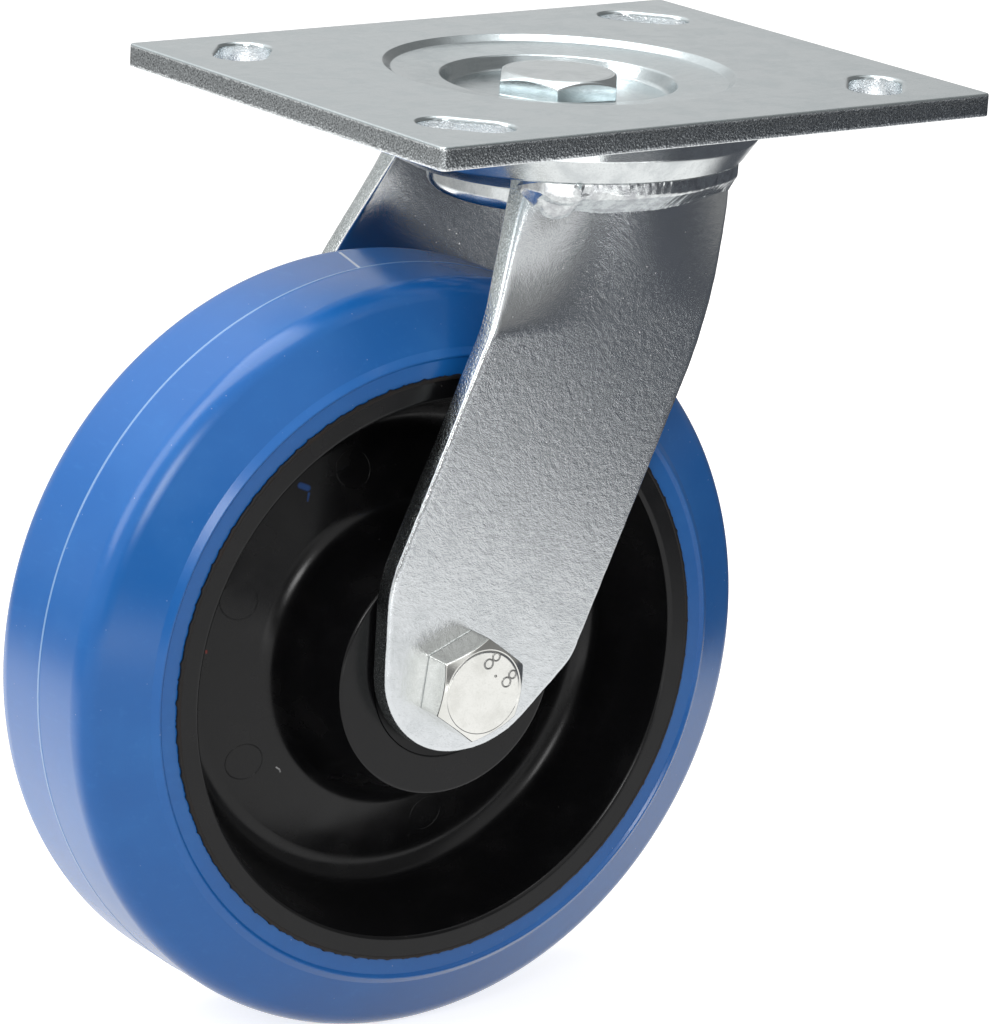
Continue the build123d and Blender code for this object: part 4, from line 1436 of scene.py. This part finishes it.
    def leg(self) -> Shell:
        """Leg on the +Y side: two faces, an edge with a rolled and a sharp side, and the axle's hole.

        Returns:
            The shell of the leg.
        """
        back, front, foot = self.outline()
        whole = np.concatenate([back[:-1], foot, front[::-1][1:]])
        uneven = 1 + self.edge_waves.at(run_along(whole))
        count, feet = len(back), len(foot)
        rows = [
            (self.drawn_in(whole, inset * uneven), depth)
            for inset, depth in edge_rows(self.roll, self.burr, LEG_THICKNESS)
        ]
        uppers = [self.topped(line[:count], line[count + feet - 2:][::-1]) for line, _ in rows]
        edge = np.stack([self.raised(line, depth) for line, depth in rows])
        shell = Shell()
        shell.add(edge[:EDGE_ARC + 1], 0)
        shell.add(edge[EDGE_ARC:EDGE_ARC + 2], 1)
        shell.add(edge[EDGE_ARC + 1:], 0)
        axle = np.array((-AXLE_TRAIL, -AXLE_DROP))
        hole = []
        for row in (0, -1):
            (line, depth), upper = rows[row], uppers[row]
            shell.add(self.raised(upper, depth), 0)
            loop = np.concatenate([line[count - 1:count - 1 + feet], upper[-1][::-1][1:-1]])
            seen = loop - axle
            rim = axle + AXLE_HOLE * seen / np.linalg.norm(seen, axis=1)[:, None]
            hole.append(self.raised(rim, depth))
            shell.add(self.raised(between(rim, loop, spread(10, 0.02)), depth), 0, round_columns=True)
        shell.add(np.stack(hole), 0, round_columns=True)
        shell.add(np.stack([self.raised(upper[0], depth) for upper, (_, depth) in zip(uppers, rows)]), 0)
        return shell

    def bead(self) -> Shell:
        """Weld bead on the +Y side.

        For each u along the bead the section goes from the bowl down a wall, over a rounded knee and along
        a slanted face to its toe on the leg: y = face + s (wall - face), z = top + q (toe - top), where
        (s, q) follow the named section. The surface is then moved along its own normal by ripples,
        unevenness, the ragged seams and the marks. Past its full stretch the section shrinks onto the root
        in the metal by sqrt(1 - x^2), with x the share of the way to the end.

        Returns:
            The shell of the bead.
        """
        along, down = self.bead_grid
        u = np.linspace(*self.bead_ends, along)
        t = np.linspace(0, 1, down)[:, None]
        section = evenly(rounded_line(self.bead_section, steps=8, support=0.3), down)
        s, q = (section / (self.bead_section[0][0], self.bead_section[-1][1])).T[..., None]
        toe = np.interp(u, *np.transpose(self.bead_toe)) + self.bead_toe_waves.at(u)
        wall = np.sqrt(self.bead_wall ** 2 - u ** 2)
        leg = self.face(u, toe, 0.0) - self.bead_depth
        shape = np.stack([
            np.broadcast_to(u, (down, along)), leg + s * (wall - leg),
            self.bead_top + q * (toe - self.bead_top),
        ], 2)
        slope = np.gradient(shape, axis=0)
        normal = np.stack([0 * slope[..., 0], -slope[..., 2], slope[..., 1]], 2)
        normal /= np.linalg.norm(normal, axis=2)[..., None]
        inner = np.sin(math.pi * t) ** 0.5
        height, length, bow = self.bead_ripple
        out = height * np.sin(u * math.tau / length + bow * np.sin(math.pi * t)) * inner
        out = out + self.bead_swell.at(u, t) * inner
        for waves, middle, width in self.bead_seams:
            out = out + waves.at(u, t) * np.exp(-((t - middle) / width) ** 2)
        rough = 1 + self.bead_rough.at(u, t)
        for mark in self.bead_marks:
            hill = np.exp(-((u - mark.along) / mark.wide) ** 2 - ((t - mark.down) / mark.tall) ** 2)
            out = out + mark.height * hill * (rough if mark.rough else 1)
        shape = shape + out[..., None] * normal
        level, depth = self.bead_root_depth
        root = np.stack([u, self.face(u, np.full_like(u, level), depth), np.full_like(u, self.bead_root)], 1)
        full = [
            np.sqrt(np.clip(1 - ((u - start) / (end - start)).clip(0) ** 2, 0, 1))
            for start, end in zip(self.bead_full, self.bead_ends)
        ]
        shape = root + (shape - root) * (full[0] * full[1])[None, :, None]
        shell = Shell()
        shell.add(np.concatenate([shape, root[None]]), 0, round_rows=True)
        return shell

    def build(self, finishes: Finishes) -> None:
        """Builds both legs and both beads; the left ones are mirrored in the middle plane.

        Args:
            finishes: Every finish of the castor.
        """
        for side, flip in (("right", 1.0), ("left", -1.0)):
            for name, shell, materials, slot, node in (
                ("leg_plate_", self.leg(), [finishes.fork, finishes.fork_edge], "zinc_fork", "leg_"),
                ("weld_bead_", self.bead(), [finishes.weld], "weld_metal", "weld_"),
            ):
                shell.points = [points * (1, flip, 1) for points in shell.points]
                shell.piece(name + side, Place.FORK, materials, Body.FORK, slot, (node + side,))


@dataclass
class Wheel:
    """Tyre and moulded centre about the axle, in millimetres."""

    tyre_half: tuple = (
        (65.0, 11.0, 0.2), (62.0, 13.0, 0.2), (62.0, 24.3, 0.2), (65.6, 24.3, 0.3), (66.2, 25.0, 0.3),
        (67.7, 23.6, 0.3), (79.9, 16.7, 6.5), (79.9, 0.45, 0.1), (79.97, 0.25, 0.05), (79.97, 0.0, 0),
    )
    centre_half: tuple = (
        (15.0, 14.3, 0.2), (17.5, 14.3, 0.2), (17.5, 27.5, 0.3), (25.6, 27.5, 0.8), (30.8, 8.9, 5.0),
        (50.2, 3.9, 5.0), (57.4, 24.9, 1.0), (62.0, 24.9, 0.3), (62.0, 13.0, 0.2), (65.0, 11.0, 0.2),
    )
    tyre_segments: int = 512
    centre_segments: int = 384
    flash_segments: int = 960
    pins: tuple = ((-34.7, 20.6), (10.4, 37.9), (-37.7, -14.1), (-11.5, -39.1))  # (forward, down)
    pin_radius: float = 3.9
    pin_line: float = 0.13  # radius of the line round each
    pin_sunk: float = 0.4  # share of it that lies in the web
    rim: float = 62.0
    flash_radius: float = 62.1
    flash_spread: float = 0.4
    flash_share: tuple = (0.35, 0.9, 1.3)  # mean, swing and power of the share of the spread that it reaches
    flash_wave: float = 389.56 / 96  # length of the longest unevenness
    flash_back: tuple = ((61.0, 24.75), (61.6, 24.94), (62.05, 24.94))  # (radius, height) over the rim
    flash_tip: tuple = (24.66, 24.3)  # heights of its torn edge

    def ring(self, half: tuple) -> Line:
        """Closed section from its half on one side, mirrored in the wheel's middle plane."""
        other = [(r, -z, rounding) for r, z, rounding in reversed(half) if z > 0]
        return rounded_line([*half, *other], closed=True, steps=7)

    def web(self, radius: np.ndarray) -> np.ndarray:
        """Distance of the web's face from the middle at a radius on its straight run."""
        (inner, high), (outer, low) = self.centre_half[4][:2], self.centre_half[5][:2]
        return high + (radius - inner) * (low - high) / (outer - inner)

    def flash(self, side: float, seed: int) -> Grid:
        """Thin ragged skin that the moulding has pushed out over the tyre's side.

        A section of six corners is turned about Z, and its torn edge reaches radius + spread * w^power, with
        w = mean + the smooth unevenness along the rim, held to 0..1.

        Args:
            side: 1 or -1.
            seed: Of the unevenness.

        Returns:
            The grid, closed both ways.
        """
        angles = around(self.flash_segments)
        mean, swing, power = self.flash_share
        share = np.clip(mean + Waves(swing, seed, self.flash_wave, 7).at(angles * self.rim), 0, 1) ** power
        torn = self.flash_radius + self.flash_spread * share
        tip = [(torn, height) for height in self.flash_tip]
        under = (self.flash_back[0][0], self.flash_tip[1])
        return swept(headings(angles), [*self.flash_back, *tip, under]) * (1, 1, side)

    def build(self, finishes: Finishes) -> None:
        """Builds the tyre, the centre and the marks that its mould leaves.

        Args:
            finishes: Every finish of the castor.
        """
        tyre = closed(turned(self.ring(self.tyre_half), around(self.tyre_segments)))
        tyre.piece("tyre_solid", Place.AXLE, [finishes.rubber], Body.WHEEL, "blue_rubber", ("tyre",))
        centre = closed(turned(self.ring(self.centre_half), around(self.centre_segments)))
        for side in (-1, 1):
            centre.add(self.flash(side, 30 + side), 1, True, True)
            for x, y in self.pins:
                line = circle(x, y, self.pin_radius, around(48))
                height = self.web(np.linalg.norm(line, axis=1)) - self.pin_sunk * self.pin_line
                centre.add(tube(np.column_stack([line, side * height]), self.pin_line), 0, True, True)
        centre.piece("wheel_moulding", Place.AXLE, [finishes.nylon, finishes.nylon_lip], Body.WHEEL,
                     "black_nylon", ("wheel_centre",))


@dataclass
class Axle:
    """Axle bolt with its strength grade on the head, its washer and its lock nut, in millimetres."""

    face: float = 41.0
    rings: tuple = (  # loops of the raised figures: forward, up and radius
        (2.6, 7.1, 0.85), (0.85, 5.8, 1.0), (2.7, 3.0, 0.12), (6.8, 2.85, 0.85), (5.4, 1.4, 1.0),
    )
    line: float = 0.20  # radius of the figures' line
    washer_edge: float = 12.0
    washer_top: float = LEG_OUTER + 2.5

    def figures(self, shell: Shell) -> None:
        """Adds the grade's loops as thin tubes that lie half in the head's face, dark zinc as painted shade.
        """
        for x, y, radius in self.rings:
            shell.add(tube(flat(circle(x, y, radius, around(28)), self.face), self.line), 1, True, True)

    def washer(self) -> Line:
        """Section of the washer, which lies on the leg's outer face.

        Returns:
            (radius, height) points.
        """
        return rounded_line([
            (AXLE_HOLE, LEG_OUTER, 0.2), (self.washer_edge, LEG_OUTER, 0.4),
            (self.washer_edge, self.washer_top, 0.4), (AXLE_HOLE, self.washer_top, 0.2),
        ], closed=True)

    def build(self, finishes: Finishes) -> None:
        """Builds the bolt, whose head lies on the -Y side, so it is turned end for end, and what holds it.

        Args:
            finishes: Every finish of the castor.
        """
        bolt = Shell()
        HexBolt(19.0, LEG_OUTER, self.face, angle=-97.0, radius=6.0, end=-50.5, thread=22.0,
                pitch=1.75).add_to(bolt)
        self.figures(bolt)
        bolt.points = [points * (1, -1, -1) for points in bolt.points]
        lock = LockNut(19.0, self.washer_top, height=9.0, collar=3.0, bore=6.05, angle=12.0)
        washer = closed(turned(self.washer(), around(96)))
        zinc = [finishes.fastener]
        for shell, name, materials, slot, node in (
            (bolt, "axle_screw", [*zinc, finishes.figures], "zinc_fastener", "axle_bolt"),
            (washer, "axle_flat_washer", zinc, "zinc_fastener", "axle_washer"),
            (closed(lock.nut()), "axle_lock_nut", zinc, "zinc_fastener", "axle_nut"),
            (closed(lock.ring()), "axle_lock_ring", [finishes.insert], "insert_plastic", "axle_nut_insert"),
        ):
            shell.piece(name, Place.AXLE, materials, Body.FORK, slot, (node,))


def sides(*names: str) -> list[str]:
    """The left and right node of each name."""
    return [f"{name}_{side}" for name in names for side in ("left", "right")]


def dress_carried(finishes: Finishes) -> None:
    """Gives each CAD node that still shows its finish.

    Args:
        finishes: Every finish of the castor.
    """
    for finish, names in (
        (finishes.ball, ["upper_ball_row", "lower_ball_row",
                         *sides("bearing_inner", "bearing_outer", "bearing_balls")]),
        (finishes.tube, ["axle_tube", *sides("bearing_spacer")]),
        (finishes.cage, sides("bearing_cage")),
        (finishes.cap, sides("dust_cap")),
    ):
        for name in names:
            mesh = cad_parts[name].data
            mesh.materials.clear()
            mesh.materials.append(finish)
            LOG.info("%s: finish %s", name, finish.name)


# ---------------------------------------------------------------- studio


@dataclass(frozen=True)
class Lamp:
    """Soft rectangular lamp that looks at a point, in metres and watts."""

    name: str
    at: tuple
    towards: tuple
    size: tuple
    power: float

    def build(self) -> None:
        """Adds the lamp, unseen by the camera."""
        data = bpy.data.lights.new(self.name, "AREA")
        data.shape = "RECTANGLE"
        data.size, data.size_y = self.size
        data.energy = self.power
        made = bpy.data.objects.new(self.name, data)
        back = np.subtract(self.at, self.towards)
        made.matrix_world = facing(self.at, back / np.linalg.norm(back))
        made.visible_camera = False
        bpy.context.scene.collection.objects.link(made)


def facing(at: tuple, back: np.ndarray) -> Matrix:
    """Matrix of an object at a point whose -Z looks against back, with its X level.

    Args:
        at: Where the object stands.
        back: Unit vector towards it from what it looks at.

    Returns:
        The matrix.
    """
    right = np.cross((0, 0, 1), back)
    right /= np.linalg.norm(right)
    up = np.cross(back, right)
    return Matrix(np.vstack([np.column_stack([right, up, back, at]), (0, 0, 0, 1)]).tolist())


@dataclass(frozen=True)
class Patch:
    """Stretch of the surroundings with a light of its own, as metal mirrors it."""

    sector: tuple  # headings at which it opens, is open, closes and is closed, in degrees
    top: tuple  # heights on the unit sphere between which it ends
    level: float


@dataclass(frozen=True)
class Studio:
    """Pale floor, soft lamps and the camera, in metres.

    A fade is (low, high, value up to low, value from high) of a smooth change.
    """

    floor_height: float = -0.1979
    floor_reach: float = 12.0
    floor_paint: float = 0.62
    floor_light: float = 0.80  # added where the camera sees the floor
    camera_at: tuple = (-0.695066, -0.890301, 0.219464)
    camera_right: tuple = (0.80063, -0.59666, 0.05467)
    camera_up: tuple = (0.11855, 0.24720, 0.96169)
    camera_back: tuple = (-0.58731, -0.76347, 0.26865)
    lens: float = 195.77
    dark: tuple = (0.095, 0.102, 0.118)  # colour of the floor's shade, as metal mirrors it
    shade_line: tuple = (0.241, 0.152)  # x at y = 0 of the line where the shade begins, and its rise with y
    shade_moves: tuple = ((-0.665, -0.625, 0.40, 0.0), (-0.56, -0.46, -0.09, 0.0))  # of it to the left, by y
    shade_edge: tuple = (-0.045, 0.045)  # fade across that line
    shade_end: tuple = (28, 42)  # headings between which the shade ends, in degrees
    front_light: tuple = (-0.53, -0.43, 2.4, 0.92)  # fade by y
    near_light: tuple = (-0.38, -0.27, 0.0, 0.18)  # added to it, by y
    card_light: tuple = (0.32, 0.62, 2.2, 0.65)  # fade by the distance from the castor
    card_sides: tuple = ((-0.15, -0.05, 1.0, 0.0), (0.0, 0.08))  # fades by x and by y
    back_light: tuple = (0.2, 0.9, 1.0, 0.65)  # share by y
    camera_side: tuple = ((-0.3, 0.0, 1.0, 0.0), (1.2, 2.5))  # fades by y and by the distance
    camera_side_loss: float = 0.75
    fill: float = 0.40  # of the surroundings on matt surfaces
    around_level: float = 0.9
    back_sector: tuple = (38, 52, 125, 150)
    back_level: tuple = (0.26, 0.50, 0.70, 1.2)  # fade by height
    zenith: tuple = (0.84, 0.96)
    patches: tuple = (
        Patch((-160, -148, -102, -88), (0.28, 0.45), 0.22),  # behind the camera
        Patch((-85, -70, 38, 52), (0.70, 0.90), 0.25),  # to the right
    )
    lamps: tuple = (
        Lamp("lamp_top", (-0.15, 0.15, 0.9), (0.0, 0.0, -0.1), (0.9, 0.9), 8.5),
        Lamp("lamp_left", (-1.0, 0.40, 0.70), (0.0, 0.0, -0.1), (0.6, 0.9), 5.5),
        Lamp("lamp_front", (-0.80, -0.85, 0.50), (0.0, 0.0, -0.1), (0.36, 0.36), 3.6),
    )

    def camera(self) -> None:
        """Places the camera."""
        data = bpy.data.cameras.new("camera")
        data.lens = self.lens
        data.sensor_width = 36.0
        data.clip_start, data.clip_end = 0.05, 50.0
        made = bpy.data.objects.new("camera", data)
        columns = np.column_stack([self.camera_right, self.camera_up, self.camera_back, self.camera_at])
        made.matrix_world = Matrix(np.vstack([columns, (0, 0, 0, 1)]).tolist())
        bpy.context.scene.collection.objects.link(made)
        bpy.context.scene.camera = made

    def floor_glow(self, tree: Tree) -> tuple[Socket, Socket]:
        """Light of the floor as metal mirrors it: bright at the left, shaded off at the front right.

        The shade begins at a slanting line, which moves right beyond y = -0.5 m and far left beyond
        y = -0.64 m, and it ends round the back. The light is brightest far in front and rises again near the
        wheel, and it is less far behind and far off on the camera's side. A bright card lies close behind at
        the left.

        Args:
            tree: The floor's tree.

        Returns:
            The colour and the strength.
        """
        where = tree.node("TexCoord").outputs["Object"]
        x, y, _ = tree.split(where)
        away = tree.length(where)
        start, rise = self.shade_line
        edge = tree.minus(x, tree.plus(tree.times(y, rise), start))
        for fade in self.shade_moves:
            edge = tree.plus(edge, tree.band(y, *fade))
        end = tree.band(tree.math("ARCTAN2", y, x), *np.radians(self.shade_end).tolist(), 1.0, 0.0)
        shade = tree.times(tree.band(edge, *self.shade_edge), end)
        level = tree.plus(tree.band(y, *self.front_light), tree.band(y, *self.near_light))
        card = tree.times(tree.band(x, *self.card_sides[0]), tree.band(y, *self.card_sides[1]))
        level = tree.blend(card, level, tree.band(away, *self.card_light))
        level = tree.times(level, tree.band(y, *self.back_light))
        far = tree.times(tree.band(y, *self.camera_side[0]), tree.band(away, *self.camera_side[1]))
        level = tree.times(level, tree.minus(1.0, tree.times(far, self.camera_side_loss)))
        return tree.mix(shade, (1.0, 1.0, 1.0), self.dark), tree.blend(shade, level, 1.0)

    def floor(self) -> None:
        """Lays the pale floor, which shows white to the camera and keeps the shadow."""
        mesh = bpy.data.meshes.new("floor")
        corners = np.array([(-1, -1), (1, -1), (1, 1), (-1, 1)]) * self.floor_reach
        mesh.from_pydata(flat(corners, self.floor_height).tolist(), [], [(0, 1, 2, 3)])
        made = bpy.data.objects.new("floor", mesh)
        bpy.context.scene.collection.objects.link(made)
        tree = Tree("floor_white")
        tree.nodes.remove(tree.shader)
        glossy, seen = tree.rays()
        glow = tree.node("Emission", {"Color": (1, 1, 1, 1), "Strength": tree.times(seen, self.floor_light)})
        paint = tree.node("BsdfDiffuse", {"Color": (*[self.floor_paint] * 3, 1)})
        both = tree.node("AddShader", {0: paint.outputs[0], 1: glow.outputs[0]})
        colour, level = self.floor_glow(tree)
        mirrored = tree.node("Emission", {"Color": colour, "Strength": level})
        out = tree.node("MixShader", {0: glossy, 1: both.outputs[0], 2: mirrored.outputs[0]})
        tree.links.new(out.outputs[0], tree.nodes["Material Output"].inputs["Surface"])
        tree.material.cycles.emission_sampling = "NONE"
        mesh.materials.append(tree.material)

    def world(self) -> None:
        """Soft surroundings: white to the camera, and to metal bright at the left and dark at the right."""
        world = bpy.data.worlds.new("studio")
        world.use_nodes = True
        bpy.context.scene.world = world
        tree = Nodes(world.node_tree)
        tree.nodes.clear()
        x, y, height = tree.split(tree.node("TexCoord").outputs["Generated"])
        heading = tree.math("ARCTAN2", y, x)

        def sector(limits: tuple) -> Socket:
            """Mask of the headings between the middle two limits, fading to the outer two."""
            first, opened, closing, last = np.radians(limits).tolist()
            return tree.times(tree.band(heading, first, opened), tree.band(heading, closing, last, 1.0, 0.0))

        level = tree.blend(sector(self.back_sector), self.around_level, tree.band(height, *self.back_level))
        level = tree.blend(tree.band(height, *self.zenith), level, self.around_level)
        for patch in self.patches:
            mask = tree.times(sector(patch.sector), tree.band(height, *patch.top, 1.0, 0.0))
            level = tree.blend(mask, level, patch.level)
        glossy, seen = tree.rays()
        mirrored = tree.times(glossy, tree.minus(level, self.fill))
        strength = tree.plus(tree.plus(mirrored, self.fill), tree.times(seen, 1.0 - self.fill))
        glow = tree.node("Background", {"Color": (1, 1, 1, 1), "Strength": strength})
        tree.node("OutputWorld", {"Surface": glow.outputs[0]})

    def build(self) -> None:
        """Sets the stage."""
        bpy.context.scene.view_settings.view_transform = "Standard"
        self.floor()
        self.world()
        for lamp in self.lamps:
            lamp.build()
        self.camera()


def main() -> None:
    """Builds every sub-assembly, dresses what is carried over and sets the stage."""
    logging.basicConfig(level=logging.INFO, format="%(name)s: %(message)s")
    finishes = Finishes()
    for assembly in (TopPlate(), SwivelHead(), Fork(), Wheel(), Axle()):
        LOG.info("building %s", type(assembly).__name__)
        assembly.build(finishes)
    dress_carried(finishes)
    Studio().build()


if __name__ == "__main__":
    main()
